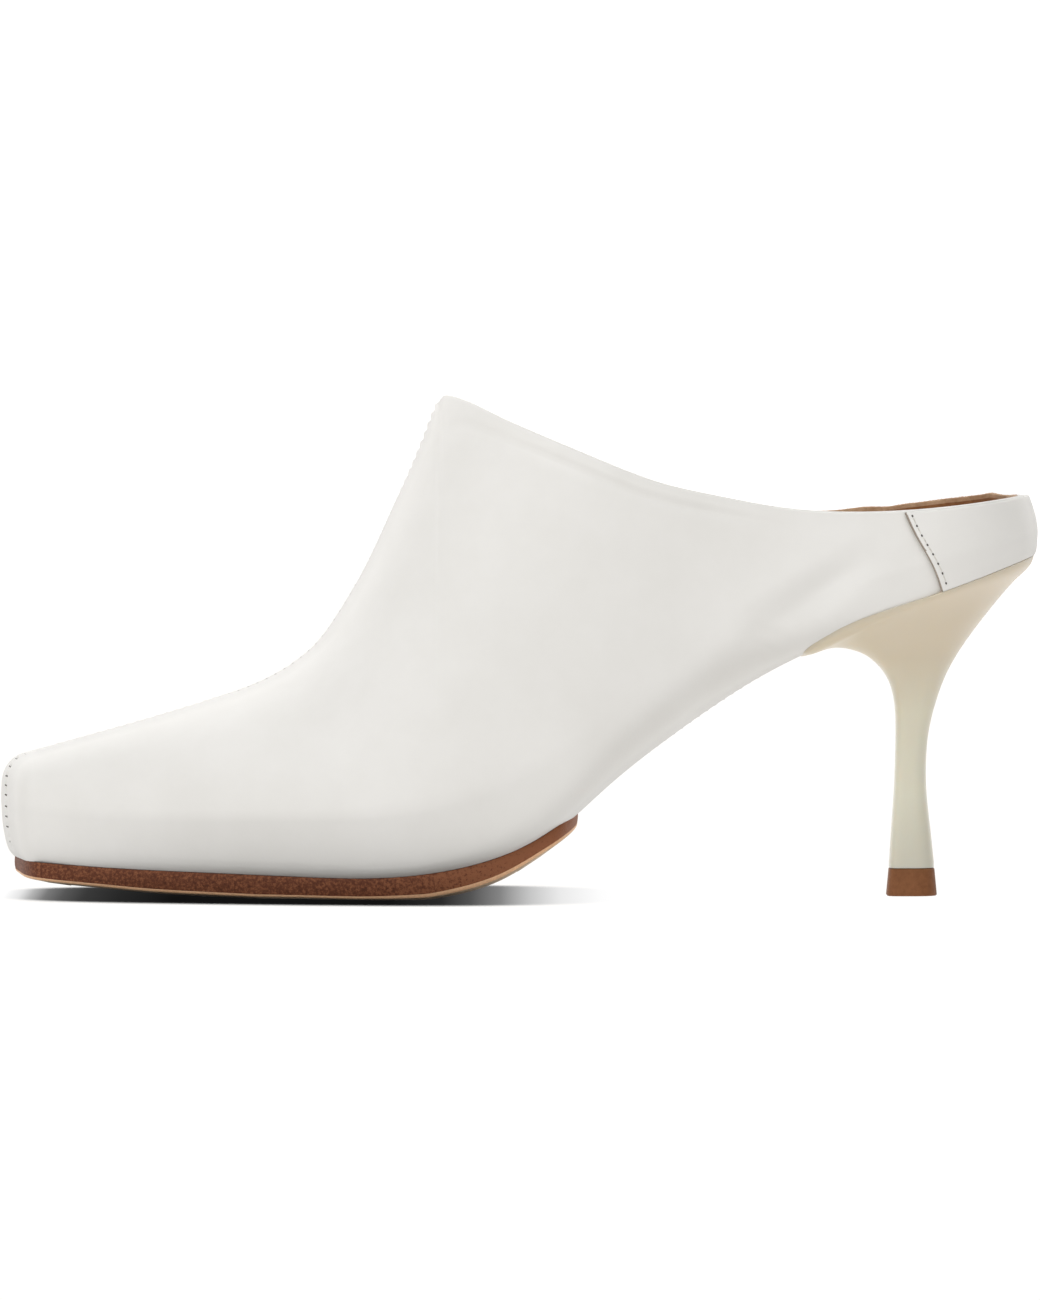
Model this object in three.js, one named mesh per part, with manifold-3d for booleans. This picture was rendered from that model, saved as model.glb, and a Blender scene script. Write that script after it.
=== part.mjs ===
// A square-toed leather mule on a slim flared heel, for the left foot.
// Millimetres, +Z up. The toe points along -X, the outer side of the foot faces -Y, and the floor is Z = 0.
// The upper is one hollow wall lofted through the sections of the last. Every other piece is fitted to that form.
import * as THREE from "three";
import { mergeVertices } from "three/addons/utils/BufferGeometryUtils.js";
import Module from "manifold-3d";

const kernel = await Module();
kernel.setup();

// Driving sizes
const SHOE_LENGTH = 240; // front of the toe to the back of the heel band
const TOE_WIDTH = 41;
const BALL_WIDTH = 81;
const WAIST_WIDTH = 59;
const SEAT_WIDTH = 54;
const TOE_HEIGHT = 32.3; // floor to the end of the ridge over the toe
const THROAT_HEIGHT = 116.2; // floor to the peak of the vamp
const SEAT_HEIGHT = 76.9; // floor to the underside of the upper at the back
const RIM_HEIGHT = 16; // that underside to the topline at the back
const BELLY_HEIGHT = 16; // underside to the widest line of the upper, at the ball
const UPPER_WALL = 2; // leather and lining together
const LASTING_MARGIN = 12; // the upper turned in under the forefoot
const TOE_SPRING = 3.4;
const TREAD_THICKNESS = 3.9; // the sole under the middle of the ball
const SOLE_BEVEL = 1.1;
const SOLE_EDGE_RISE = 0.7; // how far the sole's edge stands up round the upper
const INSOLE_THICKNESS = 3;
const BAND_THICKNESS = 1.1;
const SEAT_LIP = 1.4; // how far the heel stands up round the upper
const INNER_DIP = 1.7; // the inner side of the topline is this much lower than the outer
const TIP_HEIGHT = 6.4;
const TIP_LENGTH = 11.8; // of the top lift on the floor
const TIP_WIDTH = 11.6;
const STEM_WIDTH = 9.4; // the heel at its slimmest
const SEAM_GAP = 0.3; // clearance between curved pieces
const PAD_CLEARANCE = 1.2; // round the insole's pad, inside the opening

// Places along the shoe are shares of its length, from the toe.
const THROAT_AT = 0.422;
const SOLE_END_AT = 0.5555;
const HOLE_FROM = 0.062; // the opening that the sole closes
const HOLE_TO = 0.5;
const HEEL_AXIS_AT = 0.8775;
const BAND_TOP_AT = 0.875; // the band's front edge at the topline
const BAND_FOOT_AT = 0.911; // and at the seat

// Underside of the upper: spring is a share of the toe spring, rise of the climb to the seat.
const UNDERSIDE = [
  { at: 0.01, spring: 0.97, rise: 0 },
  { at: 0.096, spring: 0.56, rise: 0 },
  { at: 0.192, spring: 0.3, rise: 0 },
  { at: 0.2875, spring: 0.08, rise: 0 },
  { at: 0.342, spring: 0, rise: 0 },
  { at: 0.414, spring: 0, rise: 0.016 },
  { at: 0.467, spring: 0, rise: 0.053 },
  { at: 0.508, spring: 0, rise: 0.106 },
  { at: 0.546, spring: 0, rise: 0.187 },
  { at: 0.583, spring: 0, rise: 0.293 },
  { at: 0.64, spring: 0, rise: 0.44 },
  { at: 0.702, spring: 0, rise: 0.582 },
  { at: 0.764, spring: 0, rise: 0.702 },
  { at: 0.833, spring: 0, rise: 0.802 },
  { at: 0.908, spring: 0, rise: 0.899 },
  { at: 0.99, spring: 0, rise: 1 },
];

// Ridge of the vamp, from the toe's height to the throat's. Behind the throat it is the cut-away top of the last.
const RIDGE = [
  { at: 0.0125, climb: 0 },
  { at: 0.083, climb: 0.056 },
  { at: 0.154, climb: 0.114 },
  { at: 0.2125, climb: 0.167 },
  { at: 0.25, climb: 0.207 },
  { at: 0.283, climb: 0.262 },
  { at: 0.308, climb: 0.329 },
  { at: 0.329, climb: 0.417 },
  { at: 0.354, climb: 0.546 },
  { at: 0.379, climb: 0.702 },
  { at: 0.4, climb: 0.837 },
  { at: THROAT_AT, climb: 1 },
  { at: 0.45, climb: 1.19 },
  { at: 0.5, climb: 1.46 },
  { at: 0.583, climb: 1.72 },
  { at: 0.6875, climb: 1.66 },
  { at: 0.79, climb: 1.36 },
  { at: 0.895, climb: 1.08 },
  { at: 0.992, climb: 1.02 },
];

// Topline of the outer side, from the height of the back rim to the throat's. dip is how much of the inner
// side's drop it has there.
const TOPLINE = [
  { at: THROAT_AT, climb: 1, dip: 0 },
  { at: 0.444, climb: 0.966, dip: 0.45 },
  { at: 0.475, climb: 0.837, dip: 0.85 },
  { at: 0.517, climb: 0.639, dip: 1 },
  { at: 0.575, climb: 0.373, dip: 1 },
  { at: 0.633, climb: 0.155, dip: 1 },
  { at: 0.692, climb: 0.017, dip: 0.95 },
  { at: 0.75, climb: -0.09, dip: 0.85 },
  { at: 0.817, climb: -0.129, dip: 0.4 },
  { at: 0.896, climb: -0.1, dip: 0 },
  { at: 0.996, climb: 0.01, dip: 0 },
];

// Plan of the widest line: outer and inner are the two sides, middle the centre seam, as shares of the width across.
const PLAN = [
  { at: 0.008, across: TOE_WIDTH, outer: 0.41, inner: 0.59, middle: 0.09 },
  { at: 0.083, across: BALL_WIDTH, outer: 0.275, inner: 0.352, middle: 0.047 },
  { at: 0.175, across: BALL_WIDTH, outer: 0.362, inner: 0.42, middle: 0.046 },
  { at: 0.271, across: BALL_WIDTH, outer: 0.438, inner: 0.477, middle: 0.042 },
  { at: 0.342, across: BALL_WIDTH, outer: 0.482, inner: 0.5, middle: 0.037 },
  { at: 0.417, across: BALL_WIDTH, outer: 0.5, inner: 0.482, middle: 0.032 },
  { at: 0.5, across: BALL_WIDTH, outer: 0.483, inner: 0.428, middle: 0.025 },
  { at: 0.583, across: WAIST_WIDTH, outer: 0.606, inner: 0.524, middle: 0.02 },
  { at: 0.675, across: WAIST_WIDTH, outer: 0.525, inner: 0.475, middle: 0.01 },
  { at: 0.775, across: SEAT_WIDTH, outer: 0.52, inner: 0.505, middle: 0 },
  { at: 0.883, across: SEAT_WIDTH, outer: 0.5, inner: 0.5, middle: 0 },
  { at: 0.99, across: SEAT_WIDTH, outer: 0.5, inner: 0.5, middle: 0 },
];

// Roundness: belly is the height of the widest line, crown and keel the squareness above and below it,
// and tuck the width left at the underside.
const ROUNDNESS = [
  { at: 0.01, belly: 0.87, crown: 3.2, keel: 10, tuck: 0.93 },
  { at: 0.104, belly: 0.87, crown: 2.8, keel: 12, tuck: 0.92 },
  { at: 0.208, belly: 0.92, crown: 2.25, keel: 12, tuck: 0.915 },
  { at: 0.3125, belly: 1, crown: 1.85, keel: 12, tuck: 0.915 },
  { at: 0.417, belly: 1.08, crown: 1.7, keel: 11, tuck: 0.925 },
  { at: 0.5, belly: 1.16, crown: 1.75, keel: 7, tuck: 0.94 },
  { at: 0.5625, belly: 1.12, crown: 1.85, keel: 4.2, tuck: 0.96 },
  { at: 0.646, belly: 1, crown: 2, keel: 2.6, tuck: 0.985 },
  { at: 0.73, belly: 0.9, crown: 2.1, keel: 2.8, tuck: 0.975 },
  { at: 0.8125, belly: 0.75, crown: 2.2, keel: 4.6, tuck: 0.95 },
  { at: 0.896, belly: 0.62, crown: 2.2, keel: 6.5, tuck: 0.94 },
  { at: 0.99, belly: 0.45, crown: 2.2, keel: 7, tuck: 0.94 },
];

// Underside of the sole, as a share of the climb to the seat. What would be lower than the tread is flat on the floor.
const SOLE_UNDERSIDE = [
  { at: 0.01, lift: 0.055 },
  { at: 0.045, lift: 0.0405 },
  { at: 0.096, lift: 0.026 },
  { at: 0.192, lift: 0.008 },
  { at: 0.27, lift: -0.002 },
  { at: 0.342, lift: -0.006 },
  { at: 0.404, lift: -0.002 },
  { at: 0.442, lift: 0.017 },
  { at: 0.4835, lift: 0.062 },
  { at: 0.517, lift: 0.126 },
  { at: 0.546, lift: 0.189 },
  { at: 0.556, lift: 0.212 },
];

const HEEL_END_UP = (TIP_HEIGHT + SEAM_GAP / 3) / SEAT_HEIGHT; // the heel stops just above the tip

// Rings of the heel from the tip up. front and back are distances from the heel's axis as shares of the
// length of the seat, the heights are shares of the seat's, and flare goes from the stem to the seat's width.
const HEEL_RINGS = [
  { front: -0.0925, frontUp: HEEL_END_UP, back: 0.1, backUp: HEEL_END_UP, flare: 0.03 },
  { front: -0.0805, frontUp: 0.216, back: 0.0805, backUp: 0.216, flare: 0.01 },
  { front: -0.0695, frontUp: 0.338, back: 0.0645, backUp: 0.338, flare: 0 },
  { front: -0.064, frontUp: 0.468, back: 0.0705, backUp: 0.468, flare: 0.015 },
  { front: -0.066, frontUp: 0.558, back: 0.0985, backUp: 0.566, flare: 0.075 },
  { front: -0.0875, frontUp: 0.637, back: 0.142, backUp: 0.657, flare: 0.175 },
  { front: -0.142, frontUp: 0.697, back: 0.205, backUp: 0.74, flare: 0.32 },
  { front: -0.218, frontUp: 0.736, back: 0.282, backUp: 0.818, flare: 0.49 },
  { front: -0.311, frontUp: 0.752, back: 0.364, backUp: 0.892, flare: 0.66 },
  { front: -0.402, frontUp: 0.741, back: 0.441, backUp: 0.955, flare: 0.81 },
  { front: -0.48, frontUp: 0.727, back: 0.498, backUp: 1.001, flare: 0.905 },
  { front: -0.5, frontUp: 0.8, back: 0.512, backUp: 1.06, flare: 0.93 },
];
const SEAT_LENGTH = 55; // heel breast to the back of the seat
const HEEL_STEPS = 2; // rings drawn for each one of the table
const BREAST_SQUARENESS = 4.5;
const BACK_SQUARENESS = 2.3;
const BAND_DROP = 0.15; // the band's top edge under the topline

// End shapes of the form: the depth of the rounded part, its squareness in plan and from the side,
// and the share of its height that is left at the very end.
const TOE_END = { depth: 4.6, plan: 5, side: 2.8, left: 0.35, lean: 2.2 };
const SEAT_END = { depth: 25.5, plan: 2.3, side: 2, left: 1, lean: 3, topLean: 2.2 };
const SOLE_TOE = { depth: 4.4, plan: 5, side: 1, left: 1 };
const SOLE_REAR = { depth: 5.5, plan: 3.2, side: 1, left: 1 };
const SOLE_TOE_INSET = 3.3; // the sole's front edge behind the toe
const TOE_SLANT = 0.12; // the toe's front edge falls back towards the outer side, as a slope in plan
const TOE_SLANT_LENGTH = 34.0; // how far from the front the slant fades out
const TOE_SLANT_PIVOT = 0.41; // the foremost place, as a share of the toe's width towards the inner side

// Mesh steps
const TOE_STEPS = 5;
const VAMP_STEPS = 15;
const COLLAR_STEPS = 15;
const SEAT_STEPS = 7;
const UNDER_ROWS = 3; // from the bottom centre to the feather edge
const SIDE_ROWS = 4; // from there to the widest line
const CROWN_ROWS = 9;
const ROWS = UNDER_ROWS + SIDE_ROWS + CROWN_ROWS;
const COLUMNS = TOE_STEPS + VAMP_STEPS + COLLAR_STEPS + SEAT_STEPS;
const THROAT_COLUMN = TOE_STEPS + VAMP_STEPS;
const ARC_STEPS = 48;
const HEEL_SIDES = 28;
const SOLE_STEPS = 20;

// A natural cubic spline through one column of a table, as a function of the place along the shoe.
function curve(rows, valueOf) {
  const at = rows.map((row) => row.at);
  const value = rows.map(valueOf);
  const last = at.length - 1;
  const ratio = new Array(last + 1).fill(0);
  const load = new Array(last + 1).fill(0);
  const bend = new Array(last + 1).fill(0);
  for (let i = 1; i < last; i++) {
    const before = at[i] - at[i - 1];
    const after = at[i + 1] - at[i];
    const turn = 6 * ((value[i + 1] - value[i]) / after - (value[i] - value[i - 1]) / before);
    const pivot = 2 * (before + after) - before * ratio[i - 1];
    ratio[i] = after / pivot;
    load[i] = (turn - before * load[i - 1]) / pivot;
  }
  for (let i = last - 1; i > 0; i--) bend[i] = load[i] - ratio[i] * bend[i + 1];
  return (place) => {
    let i = 0;
    while (i < last - 1 && place > at[i + 1]) i++;
    const span = at[i + 1] - at[i];
    const a = (at[i + 1] - place) / span;
    const b = 1 - a;
    const arch = ((a ** 3 - a) * bend[i] + (b ** 3 - b) * bend[i + 1]) * (span * span) / 6;
    return a * value[i] + b * value[i + 1] + arch;
  };
}

const FRONT_X = -SHOE_LENGTH / 2;
const BACK_X = SHOE_LENGTH / 2 - BAND_THICKNESS - SEAM_GAP; // the form ends inside the band
const SEAT_CLIMB = SEAT_HEIGHT - TREAD_THICKNESS;
const RIM_TOP = SEAT_HEIGHT + RIM_HEIGHT;
const stationX = (at) => FRONT_X + at * SHOE_LENGTH;
const stationAt = (x) => (x - FRONT_X) / SHOE_LENGTH;

const underside = curve(UNDERSIDE, (row) => TREAD_THICKNESS + row.spring * TOE_SPRING + row.rise * SEAT_CLIMB);
const ridge = curve(RIDGE, (row) => TOE_HEIGHT + row.climb * (THROAT_HEIGHT - TOE_HEIGHT));
const topline = curve(TOPLINE, (row) => RIM_TOP + row.climb * (THROAT_HEIGHT - RIM_TOP));
const innerDip = curve(TOPLINE, (row) => row.dip * INNER_DIP);
const outerSide = curve(PLAN, (row) => row.outer * row.across);
const innerSide = curve(PLAN, (row) => row.inner * row.across);
const middleLine = curve(PLAN, (row) => row.middle * row.across);
const belly = curve(ROUNDNESS, (row) => row.belly * BELLY_HEIGHT);
const crown = curve(ROUNDNESS, (row) => row.crown);
const keel = curve(ROUNDNESS, (row) => row.keel);
const tuck = curve(ROUNDNESS, (row) => row.tuck);
const soleUnderside = curve(SOLE_UNDERSIDE, (row) => row.lift * SEAT_CLIMB);

// One column of the form's mesh: its X, and how far an end has narrowed and lowered it.
function endColumn(end, startX, direction, turn) {
  const x = startX + direction * end.depth * Math.sin(turn);
  const narrow = Math.max(Math.cos(turn), 0) ** (2 / end.plan);
  const low = end.left + (1 - end.left) * Math.max(Math.cos(turn), 0) ** (2 / end.side);
  return { x, at: stationAt(x), narrow: turn > 1.57 ? 0 : narrow, low };
}

function formColumns() {
  const toeX = FRONT_X + TOE_END.depth;
  const seatX = BACK_X - SEAT_END.depth;
  const throatX = stationX(THROAT_AT);
  const columns = [];
  const full = (x) => ({ x, at: stationAt(x), narrow: 1, low: 1 });
  for (let k = TOE_STEPS; k > 0; k--) {
    columns.push(endColumn(TOE_END, toeX, -1, (k / TOE_STEPS) * (Math.PI / 2)));
  }
  for (let k = 0; k < VAMP_STEPS; k++) {
    columns.push(full(toeX + (k / VAMP_STEPS) * (throatX - toeX)));
  }
  for (let k = 0; k < COLLAR_STEPS; k++) {
    columns.push(full(throatX + (k / COLLAR_STEPS) ** 1.6 * (seatX - throatX)));
  }
  for (let k = 0; k <= SEAT_STEPS; k++) {
    columns.push(endColumn(SEAT_END, seatX, 1, (k / SEAT_STEPS) * (Math.PI / 2)));
  }
  return columns;
}

// Half of a section as polylines of [share of the half width, Z]: under the foot to the feather edge, up the
// side to the widest line, and over it.
function halfSection(at) {
  const floor = underside(at);
  const wide = floor + belly(at);
  const below = [];
  const above = [];
  for (let k = 0; k <= ARC_STEPS; k++) {
    const turn = (k / ARC_STEPS) * (Math.PI / 2);
    const sine = Math.sin(turn);
    const cosine = Math.max(Math.cos(turn), 0);
    const under = cosine ** (2 / keel(at));
    const taper = 1 - (1 - tuck(at)) * under;
    below.push([sine ** (2 / keel(at)) * taper, wide - (wide - floor) * under]);
    above.push([cosine ** (2 / crown(at)), wide + (ridge(at) - wide) * sine ** (2 / crown(at))]);
  }
  const feather = ARC_STEPS / 2;
  return { under: below.slice(0, feather + 1), side: below.slice(feather), above, wide };
}

// The polyline's stretch between two tests, cut exactly where a test's value crosses zero.
function clip(points, value) {
  const kept = [];
  points.forEach((point, i) => {
    const here = value(point);
    if (i > 0) {
      const before = value(points[i - 1]);
      if ((before < 0) !== (here < 0)) {
        const share = before / (before - here);
        kept.push(points[i - 1].map((v, axis) => v + share * (point[axis] - v)));
      }
    }
    if (here >= 0) kept.push(point);
  });
  return kept;
}

// count + 1 points at even distances along a polyline.
function resample(points, count) {
  const reach = [0];
  for (let i = 1; i < points.length; i++) {
    const [a, b] = [points[i - 1], points[i]];
    reach.push(reach[i - 1] + Math.hypot(...b.map((v, axis) => v - a[axis])));
  }
  const total = reach[reach.length - 1];
  const even = [];
  let i = 1;
  for (let k = 0; k <= count; k++) {
    const goal = (k / count) * total;
    while (i < points.length - 1 && reach[i] < goal) i++;
    const share = (goal - reach[i - 1]) / (reach[i] - reach[i - 1] || 1);
    even.push(points[i - 1].map((v, axis) => v + share * (points[i][axis] - v)));
  }
  return even;
}

// The half width of the opening under the forefoot.
function holeHalfWidth(at, side) {
  const along = (at - HOLE_FROM) / (HOLE_TO - HOLE_FROM);
  if (along <= 0 || along >= 1) return 0;
  return Math.max(side * tuck(at) - LASTING_MARGIN, 0) * Math.sqrt(1 - Math.abs(2 * along - 1) ** 2.5);
}

// The points of one column on one side, from the bottom centre to the ridge or the topline.
function columnPoints(column, sign) {
  const { at, narrow, low } = column;
  const side = sign < 0 ? outerSide(at) : innerSide(at);
  const middle = middleLine(at);
  const half = halfSection(at);
  const place = ([share, z]) => {
    const across = share * narrow;
    return [middle * (1 - across) + sign * side * across, half.wide + (z - half.wide) * low];
  };
  let under = half.under.map(place);
  let above = half.above.map(place);
  const hole = holeHalfWidth(at, side);
  if (hole > 0) under = clip(under, ([y]) => Math.abs(y - middle) - hole);
  const top = topline(at) - (sign > 0 ? innerDip(at) : 0);
  if (column.x > stationX(THROAT_AT)) above = clip(above, ([, z]) => top - z);
  const rows = [
    ...resample(under, UNDER_ROWS),
    ...resample(half.side.map(place), SIDE_ROWS).slice(1),
    ...resample(above, CROWN_ROWS).slice(1),
  ];
  return rows.map(([y, z]) => new THREE.Vector3(column.x + endLean(column, z, half) + toeSlant(column.x, y), y, z));
}

// How far a point near the toe lies back because the front edge is slanted in plan.
function toeSlant(x, y) {
  const fade = Math.max(1 - (x - FRONT_X) / TOE_SLANT_LENGTH, 0);
  return TOE_SLANT * (TOE_SLANT_PIVOT * TOE_WIDTH - y) * fade ** 2;
}

// Both ends lean in towards the underside, and the back also towards its rim.
function endLean(column, z, half) {
  const floor = underside(column.at);
  const drop = Math.min(Math.max((half.wide - z) / (half.wide - floor), 0), 1);
  const rise = Math.min(Math.max((z - half.wide) / (RIM_TOP - half.wide), 0), 1);
  const toe = Math.max(1 - (column.x - FRONT_X) / (4 * TOE_END.depth), 0);
  const seat = Math.max(1 - (BACK_X - column.x) / SEAT_END.depth, 0) ** 1.5;
  return drop ** 2 * TOE_END.lean * toe - (drop ** 4 * SEAT_END.lean + rise ** 1.7 * SEAT_END.topLean) * seat;
}

// The form's surface as a grid of both sides, with the vertices on the centre seam shared.
function formGrid() {
  const columns = formColumns();
  const points = [];
  const index = { outer: [], inner: [] };
  const holed = (i) => holeHalfWidth(columns[i].at, BALL_WIDTH) > 0;
  columns.forEach((column, i) => {
    const outer = columnPoints(column, -1);
    const inner = columnPoints(column, 1);
    index.outer.push(outer.map((p) => points.push(p) - 1));
    index.inner.push(
      inner.map((p, j) => {
        const onEnd = i === 0 || i === COLUMNS;
        const onKeel = j === 0 && !holed(i);
        const onRidge = j === ROWS && i <= THROAT_COLUMN;
        return onEnd || onKeel || onRidge ? index.outer[i][j] : points.push(p) - 1;
      }),
    );
  });
  const faces = [];
  for (let i = 0; i < COLUMNS; i++) {
    for (let j = 0; j < ROWS; j++) {
      addQuad(faces, index.outer, i, j, false);
      addQuad(faces, index.inner, i, j, true);
    }
  }
  return { points, faces, index, holed };
}

function addQuad(faces, grid, i, j, flip) {
  const corners = [grid[i][j], grid[i + 1][j], grid[i + 1][j + 1], grid[i][j + 1]];
  addLoop(faces, flip ? corners.reverse() : corners);
}

// A loop of three or four corners, without the sides that have no length.
function addLoop(faces, corners) {
  const kept = corners.filter((corner, i) => corner !== corners[(i + 1) % corners.length]);
  if (new Set(kept).size < 3) return;
  for (let i = 1; i + 1 < kept.length; i++) faces.push([kept[0], kept[i], kept[i + 1]]);
}

function vertexNormals(points, faces) {
  const normals = points.map(() => new THREE.Vector3());
  const [ab, ac] = [new THREE.Vector3(), new THREE.Vector3()];
  for (const [a, b, c] of faces) {
    ab.subVectors(points[b], points[a]);
    ac.subVectors(points[c], points[a]);
    const normal = ab.cross(ac);
    [a, b, c].forEach((corner) => normals[corner].add(normal));
  }
  return normals.map((normal) => normal.normalize());
}

const offsetPoints = (grid, distance) => {
  const normals = vertexNormals(grid.points, grid.faces);
  return grid.points.map((point, i) => point.clone().addScaledVector(normals[i], distance));
};

function solidFrom(points, faces) {
  return new kernel.Manifold(
    new kernel.Mesh({
      numProp: 3,
      vertProperties: Float32Array.from(points.flatMap((p) => [p.x, p.y, p.z])),
      triVerts: Uint32Array.from(faces.flat()),
    }),
  );
}

// The whole form, grown by a distance and closed across the collar and the opening underneath.
function formSolid(distance) {
  const grid = formGrid();
  const faces = [...grid.faces];
  const { outer, inner } = grid.index;
  for (let i = 0; i < COLUMNS; i++) {
    addLoop(faces, [inner[i][0], inner[i + 1][0], outer[i + 1][0], outer[i][0]]);
  }
  for (let i = THROAT_COLUMN; i < COLUMNS; i++) {
    addLoop(faces, [outer[i][ROWS], outer[i + 1][ROWS], inner[i + 1][ROWS], inner[i][ROWS]]);
  }
  return solidFrom(offsetPoints(grid, distance), faces);
}

// The upper: the form's surface, the same surface one wall further in, and the rims that join the two.
function makeUpper() {
  const grid = formGrid();
  const count = grid.points.length;
  const points = [...grid.points, ...offsetPoints(grid, -UPPER_WALL)];
  const faces = [...grid.faces, ...grid.faces.map(([a, b, c]) => [a + count, c + count, b + count])];
  const rim = (a, b) => {
    if (a !== b) addLoop(faces, [a, b, b + count, a + count]);
  };
  const { outer, inner } = grid.index;
  for (let i = THROAT_COLUMN; i < COLUMNS; i++) {
    rim(outer[i][ROWS], outer[i + 1][ROWS]);
    rim(inner[i + 1][ROWS], inner[i][ROWS]);
  }
  for (let i = 0; i < COLUMNS; i++) {
    if (!grid.holed(i) && !grid.holed(i + 1)) continue;
    rim(outer[i + 1][0], outer[i][0]);
    rim(inner[i][0], inner[i + 1][0]);
  }
  return solidFrom(points, faces);
}

// A closed solid through rings that each have as many points, with a flat or fanned end on each side.
function loft(rings) {
  const points = rings.flat();
  const around = rings[0].length;
  const faces = [];
  for (let r = 0; r + 1 < rings.length; r++) {
    for (let k = 0; k < around; k++) {
      const next = (k + 1) % around;
      const [a, b] = [r * around, (r + 1) * around];
      addLoop(faces, [a + k, a + next, b + next, b + k]);
    }
  }
  for (const [ring, flip] of [[0, true], [rings.length - 1, false]]) {
    const centre = new THREE.Vector3();
    rings[ring].forEach((point) => centre.addScaledVector(point, 1 / around));
    const hub = points.push(centre) - 1;
    for (let k = 0; k < around; k++) {
      const edge = [ring * around + k, ring * around + ((k + 1) % around)];
      faces.push(flip ? [hub, edge[1], edge[0]] : [hub, ...edge]);
    }
  }
  const made = solidFrom(points, faces);
  return made.volume() < 0 ? solidFrom(points, faces.map(([a, b, c]) => [a, c, b])) : made;
}

// A block under a line that rises along the shoe, used to keep what is below it.
function blockUnder(heightAt, fromAt, toAt) {
  const rings = [];
  const steps = 40;
  for (let k = 0; k <= steps; k++) {
    const at = fromAt + (k / steps) * (toAt - fromAt);
    const [x, top] = [stationX(at), heightAt(at)];
    rings.push([
      new THREE.Vector3(x, -BALL_WIDTH, -SEAT_HEIGHT),
      new THREE.Vector3(x, BALL_WIDTH, -SEAT_HEIGHT),
      new THREE.Vector3(x, BALL_WIDTH, top),
      new THREE.Vector3(x, -BALL_WIDTH, top),
    ]);
  }
  return loft(rings);
}

// The sole: a bevelled slab to the upper's own outline, hollowed on top by the form.
function makeSole() {
  const toeX = FRONT_X + SOLE_TOE_INSET + SOLE_TOE.depth;
  const rearX = stationX(SOLE_END_AT) - SOLE_REAR.depth;
  const columns = [];
  for (const degrees of [82, 68, 50, 30, 14]) {
    columns.push(endColumn(SOLE_TOE, toeX, -1, THREE.MathUtils.degToRad(degrees)));
  }
  for (let k = 0; k <= SOLE_STEPS; k++) {
    const x = toeX + (k / SOLE_STEPS) * (rearX - toeX);
    columns.push({ x, at: stationAt(x), narrow: 1 });
  }
  for (const degrees of [20, 40, 58, 72, 84]) {
    columns.push(endColumn(SOLE_REAR, rearX, 1, THREE.MathUtils.degToRad(degrees)));
  }
  const rings = columns.map(({ x, at, narrow }) => {
    const bottom = Math.max(soleUnderside(at), 0);
    const top = underside(at) + SOLE_EDGE_RISE + SEAM_GAP;
    const middle = middleLine(at) * (1 - narrow);
    const left = middle - narrow * outerSide(at) * soleShare(at);
    const right = middle + narrow * innerSide(at) * soleShare(at);
    const corner = (y, z) => new THREE.Vector3(x + toeSlant(x, y), y, z);
    return [
      corner(left + 2 * SOLE_BEVEL, bottom),
      corner(right - 2 * SOLE_BEVEL, bottom),
      corner(right, bottom + SOLE_BEVEL),
      corner(right, top),
      corner(left, top),
      corner(left, bottom + SOLE_BEVEL),
    ];
  });
  return loft(rings).subtract(formSolid(SEAM_GAP));
}

// The share of the half width that the upper still has where the sole's edge meets it.
function soleShare(at) {
  const level = 1 - SOLE_EDGE_RISE / belly(at);
  return (1 - level ** keel(at)) ** (1 / keel(at)) * (1 - (1 - tuck(at)) * level);
}

// The insole: what the inside of the upper leaves under the footbed, and a pad down into the opening.
function makeInsole() {
  const footbed = (at) => underside(at) + UPPER_WALL + SEAM_GAP + INSOLE_THICKNESS;
  const under = blockUnder(footbed, 0, 1);
  const board = formSolid(-UPPER_WALL - SEAM_GAP).intersect(under);
  const holed = formColumns().filter(({ at }) => holeHalfWidth(at, BALL_WIDTH) > 0).slice(1, -1);
  const rings = holed.map(({ x, at }) => {
    const [left, right] = [outerSide(at), innerSide(at)].map((side) => holeHalfWidth(at, side) - PAD_CLEARANCE);
    const middle = middleLine(at);
    const top = footbed(at) - SEAM_GAP;
    return [
      new THREE.Vector3(x, middle - left, 0),
      new THREE.Vector3(x, middle + right, 0),
      new THREE.Vector3(x, middle + right, top),
      new THREE.Vector3(x, middle - left, top),
    ];
  });
  return board.add(loft(rings).intersect(formSolid(0)));
}

// The line where the leather ends on the heel.
const seatLine = (at) => underside(at) + SEAT_LIP;

// What lies behind the band's slanted front edge, from the seat line to just under the topline.
function bandOutline() {
  const rings = [];
  const steps = 24;
  for (let k = 0; k <= steps; k++) {
    const footAt = BAND_FOOT_AT + (k / steps) * (1.02 - BAND_FOOT_AT);
    const topAt = BAND_TOP_AT + (k / steps) * (1.02 - BAND_TOP_AT);
    const [foot, top] = [seatLine(footAt), topline(topAt) - BAND_DROP];
    rings.push([
      new THREE.Vector3(stationX(footAt), -SEAT_WIDTH, foot),
      new THREE.Vector3(stationX(footAt), SEAT_WIDTH, foot),
      new THREE.Vector3(stationX(topAt), SEAT_WIDTH, top),
      new THREE.Vector3(stationX(topAt), -SEAT_WIDTH, top),
    ]);
  }
  return loft(rings);
}

// The band round the back is the layer between two grown forms.
function makeBand() {
  const layer = formSolid(SEAM_GAP + BAND_THICKNESS).subtract(formSolid(SEAM_GAP));
  return layer.intersect(bandOutline());
}

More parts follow.
